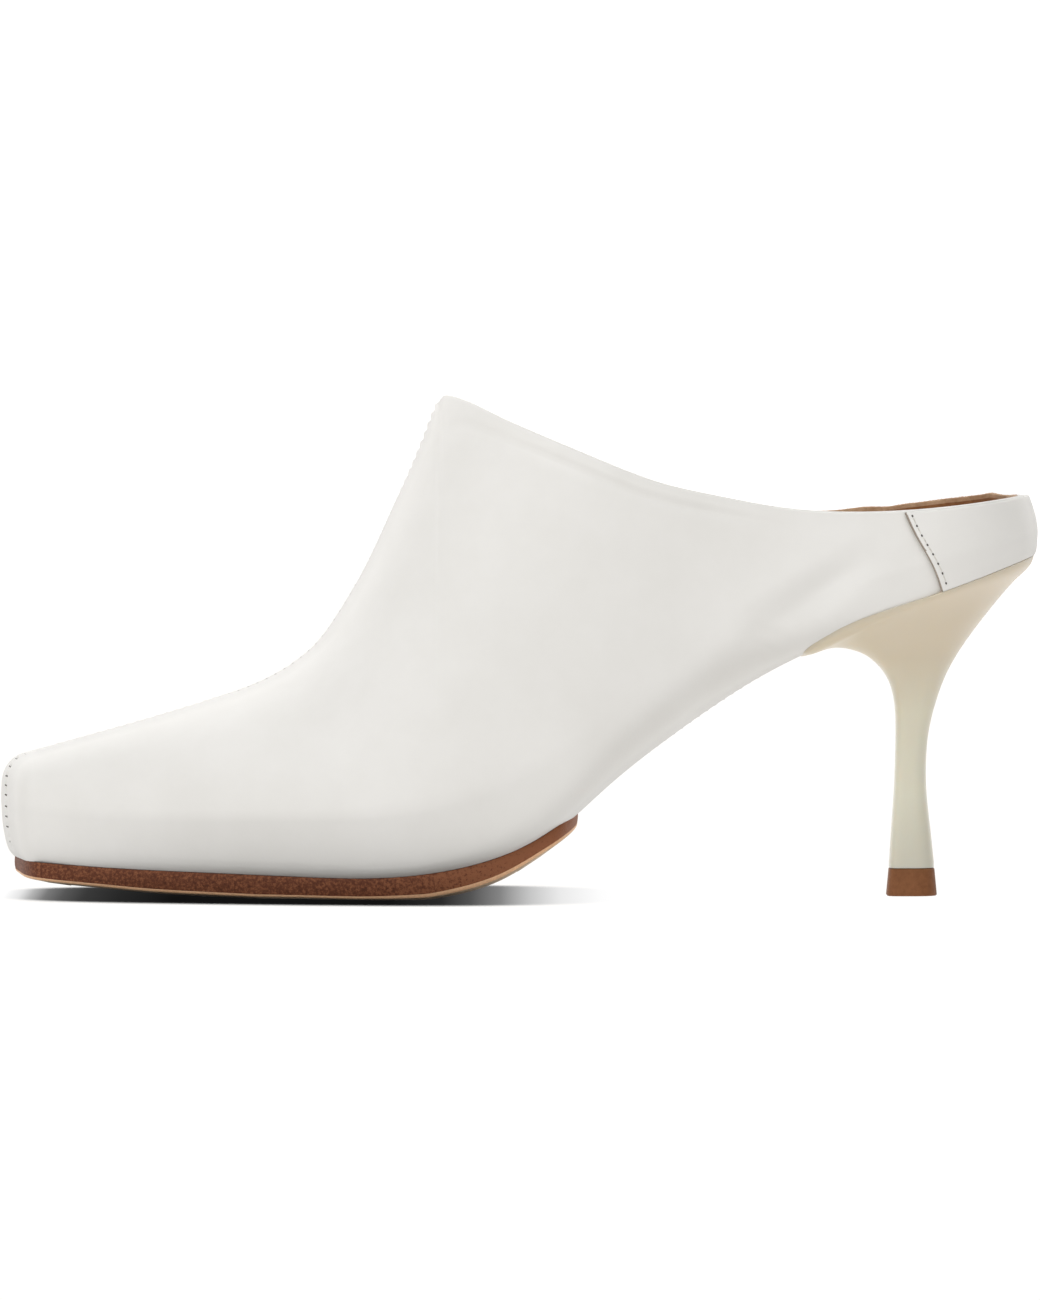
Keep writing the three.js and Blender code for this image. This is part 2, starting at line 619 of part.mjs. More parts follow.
// A ring of the heel: square at the breast and round at the back.
function heelRing(front, back, half) {
  const ring = [];
  for (let k = 0; k < HEEL_SIDES; k++) {
    const turn = (k / HEEL_SIDES) * 2 * Math.PI;
    const [cosine, sine] = [Math.cos(turn), Math.sin(turn)];
    const square = 2 / (cosine < 0 ? BREAST_SQUARENESS : BACK_SQUARENESS);
    const along = Math.sign(cosine) * Math.abs(cosine) ** square;
    const across = Math.sign(sine) * Math.abs(sine) ** square;
    const point = front.clone().lerp(back, 0.5 + 0.5 * along);
    point.y = half * across;
    ring.push(point);
  }
  return ring;
}

function makeHeel() {
  const rows = HEEL_RINGS.map((row, i) => ({ ...row, at: i }));
  const column = (name) => curve(rows, (row) => row[name]);
  const [front, frontUp, back, backUp, flare] = ["front", "frontUp", "back", "backUp", "flare"].map(column);
  const axisX = stationX(HEEL_AXIS_AT);
  const rings = [];
  for (let k = 0; k <= HEEL_STEPS * (rows.length - 1); k++) {
    const row = k / HEEL_STEPS;
    rings.push(
      heelRing(
        new THREE.Vector3(axisX + front(row) * SEAT_LENGTH, 0, frontUp(row) * SEAT_HEIGHT),
        new THREE.Vector3(axisX + back(row) * SEAT_LENGTH, 0, backUp(row) * SEAT_HEIGHT),
        0.5 * (STEM_WIDTH + flare(row) * (SEAT_WIDTH - STEM_WIDTH)),
      ),
    );
  }
  const seat = blockUnder((at) => seatLine(at) - SEAM_GAP, 0.7, 1.04);
  return loft(rings).intersect(seat).subtract(formSolid(SEAM_GAP));
}

// The top lift: as wide as the heel's end above, and a little larger on the floor.
function makeTip() {
  const axisX = stationX(HEEL_AXIS_AT);
  const end = HEEL_RINGS[0];
  const top = [end.front, end.back].map((share) => new THREE.Vector3(axisX + share * SEAT_LENGTH, 0, TIP_HEIGHT));
  const halfTop = 0.5 * (STEM_WIDTH + end.flare * (SEAT_WIDTH - STEM_WIDTH));
  const spread = 0.5 * (TIP_LENGTH - (top[1].x - top[0].x));
  const floor = [new THREE.Vector3(top[0].x - spread, 0, 0), new THREE.Vector3(top[1].x + spread, 0, 0)];
  return loft([heelRing(...floor, TIP_WIDTH / 2), heelRing(...top, halfTop)]);
}

function meshOf(name, solid, colour, roughness) {
  const { numProp, vertProperties, triVerts } = solid.getMesh();
  const positions = new Float32Array((vertProperties.length / numProp) * 3);
  for (let i = 0; i < positions.length / 3; i++) {
    for (let axis = 0; axis < 3; axis++) positions[3 * i + axis] = vertProperties[numProp * i + axis];
  }
  const geometry = new THREE.BufferGeometry();
  geometry.setAttribute("position", new THREE.BufferAttribute(positions, 3));
  geometry.setIndex(new THREE.BufferAttribute(triVerts, 1));
  geometry.computeVertexNormals();
  const mesh = new THREE.Mesh(geometry, new THREE.MeshStandardMaterial({ color: colour, roughness, metalness: 0 }));
  mesh.name = name;
  return mesh;
}

const shoe = new THREE.Group();
shoe.add(
  meshOf("upper", makeUpper(), 0xe8e6e1, 0.5),
  meshOf("heel_band", makeBand(), 0xe8e6e1, 0.5),
  meshOf("sole", makeSole(), 0x6e412d, 0.6),
  meshOf("insole", makeInsole(), 0xa06a42, 0.75),
  meshOf("heel", makeHeel(), 0xd6ccb0, 0.35),
  meshOf("heel_tip", makeTip(), 0x86553a, 0.55),
);

export default shoe;
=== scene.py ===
"""A square-toed leather mule on a slim flared heel, dressed for the render.

Sizes are millimetres until a mesh is made, in the CAD's own frame: the toe points along -X, the outer
side of the foot faces -Y and the floor is Z = 0. The surface of the last is drawn here again from tables
like those of the CAD source, with finer steps, and every piece lies on it.
"""

import math
import random

import bmesh
import bpy
import numpy as np
from mathutils import Matrix, Vector


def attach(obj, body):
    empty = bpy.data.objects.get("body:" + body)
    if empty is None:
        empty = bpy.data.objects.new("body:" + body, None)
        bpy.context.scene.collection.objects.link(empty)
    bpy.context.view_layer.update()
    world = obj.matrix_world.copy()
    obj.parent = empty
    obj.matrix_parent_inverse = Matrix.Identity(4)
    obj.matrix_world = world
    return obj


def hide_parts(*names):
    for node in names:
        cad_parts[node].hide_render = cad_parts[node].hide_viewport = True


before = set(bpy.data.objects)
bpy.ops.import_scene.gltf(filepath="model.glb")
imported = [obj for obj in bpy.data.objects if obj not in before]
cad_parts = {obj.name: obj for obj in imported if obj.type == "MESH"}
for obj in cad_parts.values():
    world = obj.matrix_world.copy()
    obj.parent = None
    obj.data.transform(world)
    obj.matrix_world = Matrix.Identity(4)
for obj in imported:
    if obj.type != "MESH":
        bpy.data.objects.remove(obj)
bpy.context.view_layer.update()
random.seed(7)
noise_seed = np.random.default_rng(7)

MM = 0.001


def table(columns, *rows):
    """A table's rows as dictionaries, from its column names and its values."""
    names = columns.split()
    return [dict(zip(names, row)) for row in rows]


# Driving sizes
SHOE_LENGTH = 240.0
TOE_WIDTH = 41.0
BALL_WIDTH = 81.0
WAIST_WIDTH = 59.0
SEAT_WIDTH = 54.0
TOE_HEIGHT = 32.3
THROAT_HEIGHT = 116.2
SEAT_HEIGHT = 76.9
RIM_HEIGHT = 16.0
BELLY_HEIGHT = 16.0
INNER_DIP = 1.7
TOE_SPRING = 3.4
TREAD_THICKNESS = 3.9
SOLE_EDGE_RISE = 1.6
SOLE_CAMBER = 1.0  # the sole's edge above its middle
SEAT_LIP = 1.4
BAND_THICKNESS = 1.1
TIP_HEIGHT = 6.4
TIP_LENGTH = 11.8
TIP_WIDTH = 11.6
STEM_WIDTH = 9.4
SEAT_LENGTH = 55.0
SEAM_GAP = 0.3
LEATHER = 1.15  # the outer leather of the upper
LINING = 0.8
LINING_PROUD = 0.8  # the raw edge of the lining above the leather, at the back
FOOTBED = 3.0
STITCH_PITCH = 2.35
BAND_PITCH = 2.5
SEAM_MARGIN = 1.2  # centre seam to its rows of stitches
BAND_MARGIN = 1.4  # raw edge of the band to its stitches
THREAD = 0.17  # radius

THROAT_AT = 0.422
SOLE_END_AT = 0.5555
HEEL_AXIS_AT = 0.8775

FRONT_X = -SHOE_LENGTH / 2
BACK_X = SHOE_LENGTH / 2 - BAND_THICKNESS - SEAM_GAP
SEAT_CLIMB = SEAT_HEIGHT - TREAD_THICKNESS
RIM_TOP = SEAT_HEIGHT + RIM_HEIGHT
THROAT_X = FRONT_X + THROAT_AT * SHOE_LENGTH

UNDERSIDE = table(
    "at spring rise",
    (0.01, 0.97, 0.0),
    (0.096, 0.56, 0.0),
    (0.192, 0.3, 0.0),
    (0.2875, 0.08, 0.0),
    (0.342, 0.0, 0.0),
    (0.414, 0.0, 0.016),
    (0.467, 0.0, 0.053),
    (0.508, 0.0, 0.106),
    (0.546, 0.0, 0.187),
    (0.583, 0.0, 0.293),
    (0.64, 0.0, 0.44),
    (0.702, 0.0, 0.582),
    (0.764, 0.0, 0.702),
    (0.833, 0.0, 0.802),
    (0.908, 0.0, 0.899),
    (0.99, 0.0, 1.0),
)

RIDGE = table(
    "at climb",
    (0.0125, 0.0),
    (0.083, 0.056),
    (0.154, 0.114),
    (0.2125, 0.167),
    (0.25, 0.207),
    (0.283, 0.262),
    (0.308, 0.329),
    (0.329, 0.417),
    (0.354, 0.546),
    (0.379, 0.702),
    (0.4, 0.837),
    (0.422, 1.0),
    (0.45, 1.19),
    (0.5, 1.46),
    (0.583, 1.72),
    (0.6875, 1.66),
    (0.79, 1.36),
    (0.895, 1.08),
    (0.992, 1.02),
)

TOPLINE = table(
    "at climb dip",
    (0.422, 1.0, 0.0),
    (0.444, 0.945, 0.45),
    (0.475, 0.8, 0.85),
    (0.517, 0.608, 1.0),
    (0.575, 0.358, 1.0),
    (0.633, 0.13, 1.0),
    (0.692, -0.012, 0.95),
    (0.75, -0.121, 0.85),
    (0.817, -0.167, 0.4),
    (0.896, -0.13, 0.0),
    (0.996, -0.01, 0.0),
)

PLAN = table(
    "at across outer inner middle",
    (0.008, TOE_WIDTH, 0.41, 0.59, 0.09),
    (0.083, BALL_WIDTH, 0.275, 0.352, 0.047),
    (0.175, BALL_WIDTH, 0.362, 0.42, 0.046),
    (0.271, BALL_WIDTH, 0.438, 0.477, 0.042),
    (0.342, BALL_WIDTH, 0.482, 0.5, 0.037),
    (0.417, BALL_WIDTH, 0.5, 0.482, 0.032),
    (0.5, BALL_WIDTH, 0.483, 0.428, 0.025),
    (0.583, WAIST_WIDTH, 0.606, 0.524, 0.02),
    (0.675, WAIST_WIDTH, 0.525, 0.475, 0.01),
    (0.775, SEAT_WIDTH, 0.52, 0.505, 0.0),
    (0.883, SEAT_WIDTH, 0.5, 0.5, 0.0),
    (0.99, SEAT_WIDTH, 0.5, 0.5, 0.0),
)

ROUNDNESS = table(
    "at belly crown keel tuck",
    (0.01, 0.87, 3.2, 10.0, 0.93),
    (0.104, 0.87, 2.8, 12.0, 0.92),
    (0.208, 0.92, 2.25, 12.0, 0.915),
    (0.3125, 1.0, 1.85, 12.0, 0.915),
    (0.417, 1.08, 1.7, 11.0, 0.925),
    (0.5, 1.16, 1.75, 7.0, 0.94),
    (0.5625, 1.12, 1.85, 4.2, 0.96),
    (0.646, 1.0, 2.0, 2.6, 0.985),
    (0.73, 0.9, 2.1, 2.8, 0.975),
    (0.8125, 0.75, 2.2, 6.5, 0.95),
    (0.896, 0.62, 2.2, 13.0, 0.94),
    (0.99, 0.45, 2.2, 14.0, 0.94),
)

SOLE_UNDERSIDE = table(
    "at lift",
    (0.01, 0.055),
    (0.045, 0.0405),
    (0.096, 0.026),
    (0.144, 0.013),
    (0.192, 0.006),
    (0.27, -0.002),
    (0.342, -0.006),
    (0.404, -0.002),
    (0.442, 0.017),
    (0.4835, 0.062),
    (0.517, 0.126),
    (0.546, 0.189),
    (0.556, 0.212),
)

HEEL_END_UP = (TIP_HEIGHT + SEAM_GAP / 3) / SEAT_HEIGHT
HEEL_RINGS = table(
    "front front_up back back_up flare",
    (-0.0925, HEEL_END_UP, 0.1, HEEL_END_UP, 0.03),
    (-0.0805, 0.216, 0.0805, 0.216, 0.01),
    (-0.0695, 0.338, 0.0645, 0.338, 0.0),
    (-0.064, 0.468, 0.0705, 0.468, 0.015),
    (-0.066, 0.558, 0.0985, 0.566, 0.075),
    (-0.0875, 0.637, 0.142, 0.657, 0.175),
    (-0.142, 0.697, 0.205, 0.74, 0.32),
    (-0.218, 0.736, 0.282, 0.818, 0.49),
    (-0.311, 0.752, 0.364, 0.892, 0.66),
    (-0.402, 0.741, 0.441, 0.955, 0.81),
    (-0.48, 0.727, 0.498, 1.001, 0.905),
    (-0.5, 0.8, 0.512, 1.06, 0.93),
)
BREAST_SQUARENESS = 4.5
BACK_SQUARENESS = 2.3

TOE_END = {"depth": 4.6, "plan": 5.0, "side": 2.8, "left": 0.35, "lean": 2.2}
TOE_FOOT = 0.55  # the lower half of the toe's end is squarer than the upper
SEAT_END = {"depth": 25.5, "plan": 2.3, "side": 2.0, "left": 1.0, "lean": 3.0, "top_lean": 2.2}
SOLE_TOE = {"depth": 4.4, "plan": 5.0, "side": 1.0, "left": 1.0}
SOLE_REAR = {"depth": 5.5, "plan": 3.2, "side": 1.0, "left": 1.0}
SOLE_TOE_INSET = 3.0
TOE_SLANT = 0.15  # the toe's front edge falls back towards the outer side, as a slope in plan
TOE_SLANT_LENGTH = 34.0
TOE_SLANT_PIVOT = 0.2

# The band's front edge, from the seat (share 0) to the topline (share 1).
BAND_EDGE = table(
    "at x",
    (0.0, 97.0),
    (0.25, 95.5),
    (0.5, 93.3),
    (0.75, 90.6),
    (1.0, 88.3),
)

# How much higher than that the leather ends along the heel's front half.
SEAT_LIFT = table(
    "at up",
    (0.7, 0.0),
    (0.768, 0.0),
    (0.8, 1.1),
    (0.843, 1.25),
    (0.885, 0.5),
    (0.92, 0.1),
    (0.96, 0.0),
    (1.0, 0.0),
)

# Soft creases in the outer side, as seen from there: two ends, half width and depth.
CREASES = table(
    "x1 z1 x2 z2 wide deep",
    (-18.8, 59.0, -10.4, 53.6, 1.2, 0.2),
    (2.0, 68.5, 9.0, 61.0, 0.9, 0.16),
    (4.2, 69.4, 8.6, 64.6, 0.7, 0.12),
    (55.0, 62.0, 79.0, 78.0, 3.3, 0.95),
    (53.8, 62.8, 62.6, 59.2, 1.1, 0.2),
    (52.5, 60.4, 60.0, 57.2, 1.0, 0.17),
)

# The leather's relief
SEAM_GROOVE = 0.3
SEAM_GROOVE_WIDE = 0.4
PUCKER_WIDE = 3.8
PUCKERS = table(
    "x deep",
    (FRONT_X + 1.0, 0.08),
    (FRONT_X + 7.0, 0.42),
    (-80.0, 0.4),
    (-58.0, 0.2),
    (-29.0, 0.22),
    (-22.0, 0.62),
    (55.0, 0.55),
    (70.0, 0.0),
)
COLLAR_GROOVE = {"deep": 0.42, "down": 3.5, "wide": 1.0}
COLLAR_SWELL = {"deep": 0.12, "down": 1.5, "wide": 0.9}
COLLAR_FADE = table("x share", (THROAT_X, 0.2), (-8.0, 1.0), (40.0, 1.0), (62.0, 0.0))
PEAK_DROP = 1.1  # how much the collar's front tip is rounded down
PEAK_REACH = 1.8
INNER_CREASE_SHARE = 0.8  # the inner side's creases are weaker, and lie a little elsewhere
INNER_CREASE_SHIFT = (-3.0, 0.0, 2.0)

# The lining's edge
LINING_SUNK = -0.45  # under the leather, at the front
LINING_BACK = 0.1
LINING_PROUD_AT = [60.0, 80.0, 104.0, 111.0, 117.0]
LIGHT_EDGE = 0.8  # height of the light edge
FIBRES_PER_SIDE = 1400

# The other pieces
CUT_EDGE_AND_SHADOW = 0.42  # width of the band's cut front edge and of the painted shadow line along it
TIP_RINGS = table(
    "z inset",
    (0.0, 0.9),
    (0.0, 0.25),
    (0.25, 0.0),
    (TIP_HEIGHT - 0.2, 0.0),
    (TIP_HEIGHT, 0.2),
    (TIP_HEIGHT, 0.9),
)
LEATHER_LIGHT = (0.85, 0.838, 0.81)
LEATHER_DARK = (0.81, 0.797, 0.765)
LINING_ROWS = 44
RAW_EDGE = 0.65  # height of the fuzzy edge
BAND_ROWS = 26
BAND_COLUMNS = 64
# The sole's section from the top centre down: inset from the outline, and height as a share of the edge.
SOLE_SECTION = table(
    "inset up camber finish",
    (9.0, 0.9, 1.0, 1),
    (1.0, 0.97, 1.0, 1),
    (0.3, 1.0, 1.0, 2),
    (0.05, 0.97, 1.0, 2),
    (-0.06, 0.91, 1.0, 0),
    (-0.12, 0.7, 1.0, 0),
    (-0.15, 0.5, 1.0, 0),
    (-0.1, 0.25, 1.0, 0),
    (0.02, 0.08, 1.0, 0),
)
# Below the edge, the bevel: inset, and height as a share of the bevel's.
SOLE_TURN = table(
    "inset up camber finish",
    (0.04, 1.0, 1.0, 3),
    (0.16, 0.45, 1.0, 3),
    (0.45, 0.1, 1.0, 1),
    (1.2, 0.0, 1.0, 1),
    (6.0, 0.0, 0.55, 1),
    (12.0, 0.0, 0.2, 1),
)
BEVEL_HEIGHT = table(
    "at high",
    (0.01, 0.35),
    (0.2, 0.4),
    (0.38, 0.55),
    (0.45, 1.0),
    (0.5, 0.9),
    (0.5555, 0.5),
)
SOLE_LOWEST_AT = 0.36
FOOTBED_HEIGHTS = [LEATHER + LINING + 0.2 + up for up in (FOOTBED, 2.2, 1.4, 0.7)]
HEEL_SIDES = 120
HEEL_ROWS = 84
HEEL_AXIS_X = FRONT_X + HEEL_AXIS_AT * SHOE_LENGTH
HEEL_HUMP = 2.2  # how far the rings' sides rise above a straight line from breast to back
SEAT_CENTRE_X = 93.0
RIM_BLEND = 9.0  # height over which the flare is fitted to the leather
RIM_LIFT = 0.16  # rim of the heel over the seat line
# How far the rim stands outside the leather, from front to back.
SEAT_OVER = table(
    "x over",
    (80.0, 0.3),
    (94.0, 0.45),
    (98.0, BAND_THICKNESS + 0.3),
    (106.0, 1.6),
    (115.0, 2 * BAND_THICKNESS),
)
PIXEL = 0.2317  # millimetres of the shoe's middle plane for one of the photograph's pixels
FRAME_WIDTH = 1040
CAMERA_AWAY = 3.0
CAMERA_HEIGHT = 0.15
LOOK_AT = Vector((0.0, 0.0, 0.0569))
# How dark the shadow under the sole is along the shoe: less where the toe and the arch let light in.
SHADOW_ALONG = table(
    "x tone",
    (-120.0, 0.97),
    (-116.0, 0.74),
    (-113.5, 0.44),
    (-110.0, 0.18),
    (-106.0, 0.09),
    (-101.0, 0.04),
    (-93.0, 0.02),
    (-80.0, 0.006),
    (-30.0, 0.006),
    (-18.0, 0.022),
    (-11.5, 0.08),
    (-4.6, 0.22),
    (2.3, 0.53),
    (9.3, 0.78),
    (18.5, 0.93),
    (30.0, 1.0),
)
SHADOW_FROM = -0.13
SHADOW_OVER = 0.17


def curve(rows, value_of):
    """A natural cubic spline through one column of a table, as a function of the place."""
    at = np.array([row["at"] for row in rows])
    value = np.array([value_of(row) for row in rows])
    gap = np.diff(at)
    size = len(at)
    system = np.eye(size)
    load = np.zeros(size)
    for i in range(1, size - 1):
        system[i, i - 1:i + 2] = gap[i - 1], 2 * (gap[i - 1] + gap[i]), gap[i]
        load[i] = 6 * ((value[i + 1] - value[i]) / gap[i] - (value[i] - value[i - 1]) / gap[i - 1])
    bend = np.linalg.solve(system, load)

    def read(place):
        i = np.clip(np.searchsorted(at, place) - 1, 0, size - 2)
        a = (at[i + 1] - place) / gap[i]
        b = 1 - a
        curved = (a ** 3 - a) * bend[i] + (b ** 3 - b) * bend[i + 1]
        return a * value[i] + b * value[i + 1] + curved * gap[i] ** 2 / 6

    return read


underside = curve(
    UNDERSIDE, lambda row: TREAD_THICKNESS + row["spring"] * TOE_SPRING + row["rise"] * SEAT_CLIMB)
ridge = curve(RIDGE, lambda row: TOE_HEIGHT + row["climb"] * (THROAT_HEIGHT - TOE_HEIGHT))
topline = curve(TOPLINE, lambda row: RIM_TOP + row["climb"] * (THROAT_HEIGHT - RIM_TOP))
inner_dip = curve(TOPLINE, lambda row: row["dip"] * INNER_DIP)
outer_side = curve(PLAN, lambda row: row["outer"] * row["across"])
inner_side = curve(PLAN, lambda row: row["inner"] * row["across"])
middle_line = curve(PLAN, lambda row: row["middle"] * row["across"])
belly = curve(ROUNDNESS, lambda row: row["belly"] * BELLY_HEIGHT)
crown = curve(ROUNDNESS, lambda row: row["crown"])
keel = curve(ROUNDNESS, lambda row: row["keel"])
tuck = curve(ROUNDNESS, lambda row: row["tuck"])
sole_underside = curve(SOLE_UNDERSIDE, lambda row: row["lift"] * SEAT_CLIMB)
band_edge_x = curve(BAND_EDGE, lambda row: row["x"])
seat_lift = curve(SEAT_LIFT, lambda row: row["up"])


def straight(rows, place, column):
    """One column of a table read in straight lines over its X."""
    return np.interp(place, [row["x"] for row in rows], [row[column] for row in rows])


def station(x):
    """The share of the shoe's length at a place."""
    return (x - FRONT_X) / SHOE_LENGTH


def seat_line(x):
    """The line where the leather ends on the heel."""
    return underside(station(x)) + SEAT_LIP + seat_lift(station(x))


# The surface of the last

def reach_along(points):
    """Distance along a polyline at each of its points."""
    steps = np.linalg.norm(np.diff(points, axis=0), axis=1)
    return np.concatenate([[0.0], np.cumsum(steps)])


def read_row(place, reach, *tables):
    """The coordinates that several tables of points or normals have at one distance along them."""
    return [np.interp(place, reach, rows[:, axis]) for rows in tables for axis in range(3)]


def resample(points, shares):
    """The points at the given shares of a polyline's length."""
    reach = reach_along(points)
    goal = np.asarray(shares) * reach[-1]
    return np.stack([np.interp(goal, reach, points[:, axis]) for axis in range(points.shape[1])], axis=1)


def graded(count, power):
    """Shares from 0 to 1 that start in small steps."""
    return (np.arange(count + 1) / count) ** power


def end_cap(end, start_x, direction, half_width, shares):
    """Columns of a rounded end, from its very tip inwards: X, narrowing and lowering."""
    turn = np.linspace(math.pi / 2, 0, 600)
    cosine = np.maximum(np.cos(turn), 0)
    cosine[0] = 0
    x = start_x + direction * end["depth"] * np.sin(turn)
    narrow = cosine ** (2 / end["plan"])
    low = end["left"] + (1 - end["left"]) * cosine ** (2 / end["side"])
    outline = np.stack([x, narrow * half_width, narrow, low], axis=1)
    reach = reach_along(outline[:, :2])
    goal = np.asarray(shares) * reach[-1]
    return [tuple(np.interp(g, reach, outline[:, k]) for k in (0, 2, 3)) for g in goal]


def form_columns(toe_count, ridge_step, waist_step, seat_count):
    """Columns of the last's grid from the toe's front to the back: X, narrowing and lowering."""
    toe_x = FRONT_X + TOE_END["depth"]
    seat_x = BACK_X - SEAT_END["depth"]
    columns = end_cap(TOE_END, toe_x, -1, TOE_WIDTH / 2, graded(toe_count, 1.4))[:-1]
    x = np.linspace(toe_x, THROAT_X, 800)
    top = np.stack([x, ridge(station(x))], axis=1)
    vamp_count = int(round(reach_along(top)[-1] / ridge_step))
    columns += [(p[0], 1.0, 1.0) for p in resample(top, np.arange(vamp_count) / vamp_count)]
    throat = len(columns)
    x = np.linspace(THROAT_X, seat_x, 800)
    bottom = np.stack([x, underside(station(x))], axis=1)
    waist_count = int(round(reach_along(bottom)[-1] / waist_step))
    columns += [(p[0], 1.0, 1.0) for p in resample(bottom, np.arange(waist_count) / waist_count)]
    columns += end_cap(SEAT_END, seat_x, 1, SEAT_WIDTH / 2, np.arange(seat_count + 1) / seat_count)[::-1]
    return columns, throat


def end_lean(x, z, wide, floor):
    """Both ends lean in towards the underside, and the back also towards its rim."""
    drop = np.clip((wide - z) / (wide - floor), 0, 1)
    rise = np.clip((z - wide) / (RIM_TOP - wide), 0, 1)
    toe = max(1 - (x - FRONT_X) / (4 * TOE_END["depth"]), 0)
    seat = max(1 - (BACK_X - x) / SEAT_END["depth"], 0) ** 1.5
    back = drop ** 4 * SEAT_END["lean"] + rise ** 1.7 * SEAT_END["top_lean"]
    return drop ** 2 * TOE_END["lean"] * toe - back * seat


def toe_slant(x, y):
    """How far a point near the toe lies back because the front edge is slanted in plan."""
    fade = np.maximum(1 - (x - FRONT_X) / TOE_SLANT_LENGTH, 0)
    return TOE_SLANT * (TOE_SLANT_PIVOT * TOE_WIDTH - y) * fade ** 2


def peak_round(x):
    """How far the tip of the collar's front is rounded down."""
    return PEAK_DROP * max(1 - abs(x - THROAT_X) / PEAK_REACH, 0) ** 2


def section(column, sign):
    """One side of a section in three stretches: under the foot, up the side and over the crown."""
    x, narrow, low = column
    at = station(x)
    floor = underside(at)
    wide = floor + belly(at)
    side = outer_side(at) if sign < 0 else inner_side(at)
    middle = middle_line(at)
    turn = np.linspace(0, math.pi / 2, 193)
    sine = np.sin(turn)
    cosine = np.maximum(np.cos(turn), 0)
    cosine[-1] = 0
    under = cosine ** (2 / keel(at))
    taper = 1 - (1 - tuck(at)) * under

    def place(share, z):
        across = share * narrow
        z = wide + (z - wide) * np.where(z < wide, low ** TOE_FOOT, low)
        y = middle * (1 - across) + sign * side * across
        lean = end_lean(x, z, wide, floor) + toe_slant(x, y)
        return np.stack([x + lean, y, z], axis=1)

    below = place(sine ** (2 / keel(at)) * taper, wide - (wide - floor) * under)
    peak = ridge(at) - peak_round(x) if x <= THROAT_X else ridge(at)
    above = place(cosine ** (2 / crown(at)), wide + (peak - wide) * sine ** (2 / crown(at)))
    if x > THROAT_X:
        top = topline(at) - (inner_dip(at) if sign > 0 else 0) - peak_round(x)
        kept = above[:, 2] < top
        share = np.interp(top, above[:, 2], np.arange(len(above)))
        last = int(share)
        cut = above[last] + (share - last) * (above[min(last + 1, len(above) - 1)] - above[last])
        above = np.vstack([above[kept], cut])
    return below[:97], below[96:], above


def form_side(columns, sign, under_shares, side_shares, crown_shares):
    """One side of the last as a grid of points, columns by rows, from the bottom centre up."""
    grid = []
    for column in columns:
        under, side, above = section(column, sign)
        grid.append(np.vstack([
            resample(under, under_shares),
            resample(side, side_shares)[1:],
            resample(above, crown_shares)[1:],
        ]))
    return np.array(grid)


def side_normals(points, sign):
    along = np.gradient(points, axis=0)
    up = np.gradient(points, axis=1)
    normals = np.cross(along, up) * -sign
    return normals / np.maximum(np.linalg.norm(normals, axis=2, keepdims=True), 1e-9)


class Form:
    """Both sides of the last with shared normals along the centre seam."""

    def __init__(self, toe_count, ridge_step, waist_step, seat_count, under, side, over):
        self.columns, self.throat = form_columns(toe_count, ridge_step, waist_step, seat_count)
        shares = (graded(under, 1.5), np.arange(side + 1) / side, 1 - graded(over, 1.5)[::-1])
        self.points = {sign: form_side(self.columns, sign, *shares) for sign in (-1, 1)}
        self.normals = {sign: side_normals(self.points[sign], sign) for sign in (-1, 1)}
        last = self.points[1].shape[1] - 1
        shared = np.zeros(self.points[1].shape[:2], bool)
        shared[0] = shared[-1] = True
        shared[:, 0] = True
        shared[:self.throat + 1, last] = True
        mean = self.normals[-1] + self.normals[1]
        mean = mean / np.maximum(np.linalg.norm(mean, axis=2, keepdims=True), 1e-9)
        for sign in (-1, 1):
            self.normals[sign][shared] = mean[shared]

    def grown(self, sign, distance):
        return self.points[sign] + self.normals[sign] * distance

    def shrunk(self, sign, distance, rows):
        """The inside of a wall: kept off every part of its own section, with a given number of rows."""
        moved = self.grown(sign, -distance)
        flatness = np.linalg.norm(self.normals[sign][..., 1:], axis=2)
        made = []
        for section_points, inside, flat in zip(self.points[sign], moved, flatness):
            gap = np.linalg.norm(inside[:, None, 1:] - section_points[None, :, 1:], axis=2).min(axis=1)
            kept = gap > 0.93 * distance * flat
            kept[0] = kept[-1] = True
            made.append(resample(inside[kept], np.arange(rows + 1) / rows))
        return np.array(made)


# Making meshes

def new_piece(name, bm, materials, slot, *replaced):
    """A finished object from a bmesh, riding on the root, with its place in its mesh."""
    mesh = bpy.data.meshes.new(name)
    bm.normal_update()
    bm.to_mesh(mesh)
    bm.free()
    mesh.polygons.foreach_set("use_smooth", [True] * len(mesh.polygons))
    piece = bpy.data.objects.new(name, mesh)
    bpy.context.scene.collection.objects.link(piece)
    for material in materials:
        mesh.materials.append(material)
    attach(piece, "root")
    if replaced:
        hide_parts(*replaced)
    return piece


def add_grid(bm, points, flip=False, material=0):
    """A grid of faces whose vertices are set to a table of points in millimetres."""
    columns, rows = points.shape[:2]
    made = bmesh.ops.create_grid(bm, x_segments=columns - 1, y_segments=rows - 1, size=0.5)["verts"]
    for vert in made:
        i = round((vert.co.x + 0.5) * (columns - 1))
        j = round((vert.co.y + 0.5) * (rows - 1))
        vert.co = points[i, j] * MM
    faces = list({face for vert in made for face in vert.link_faces})
    for face in faces:
        face.material_index = material
    if flip:
        bmesh.ops.reverse_faces(bm, faces=faces)
    return faces


def merge(bm, distance=0.004):
    bmesh.ops.remove_doubles(bm, verts=bm.verts, dist=distance * MM)
    bmesh.ops.dissolve_degenerate(bm, edges=bm.edges, dist=0.001 * MM)


def closed_form(points):
    """A grid of points as a closed mesh, with its open ends filled."""
    bm = bmesh.new()
    add_grid(bm, points)
    merge(bm)
    ends = [edge for edge in bm.edges if edge.is_boundary]
    bmesh.ops.holes_fill(bm, edges=ends, sides=0)
    bmesh.ops.recalc_face_normals(bm, faces=bm.faces)
    return bm


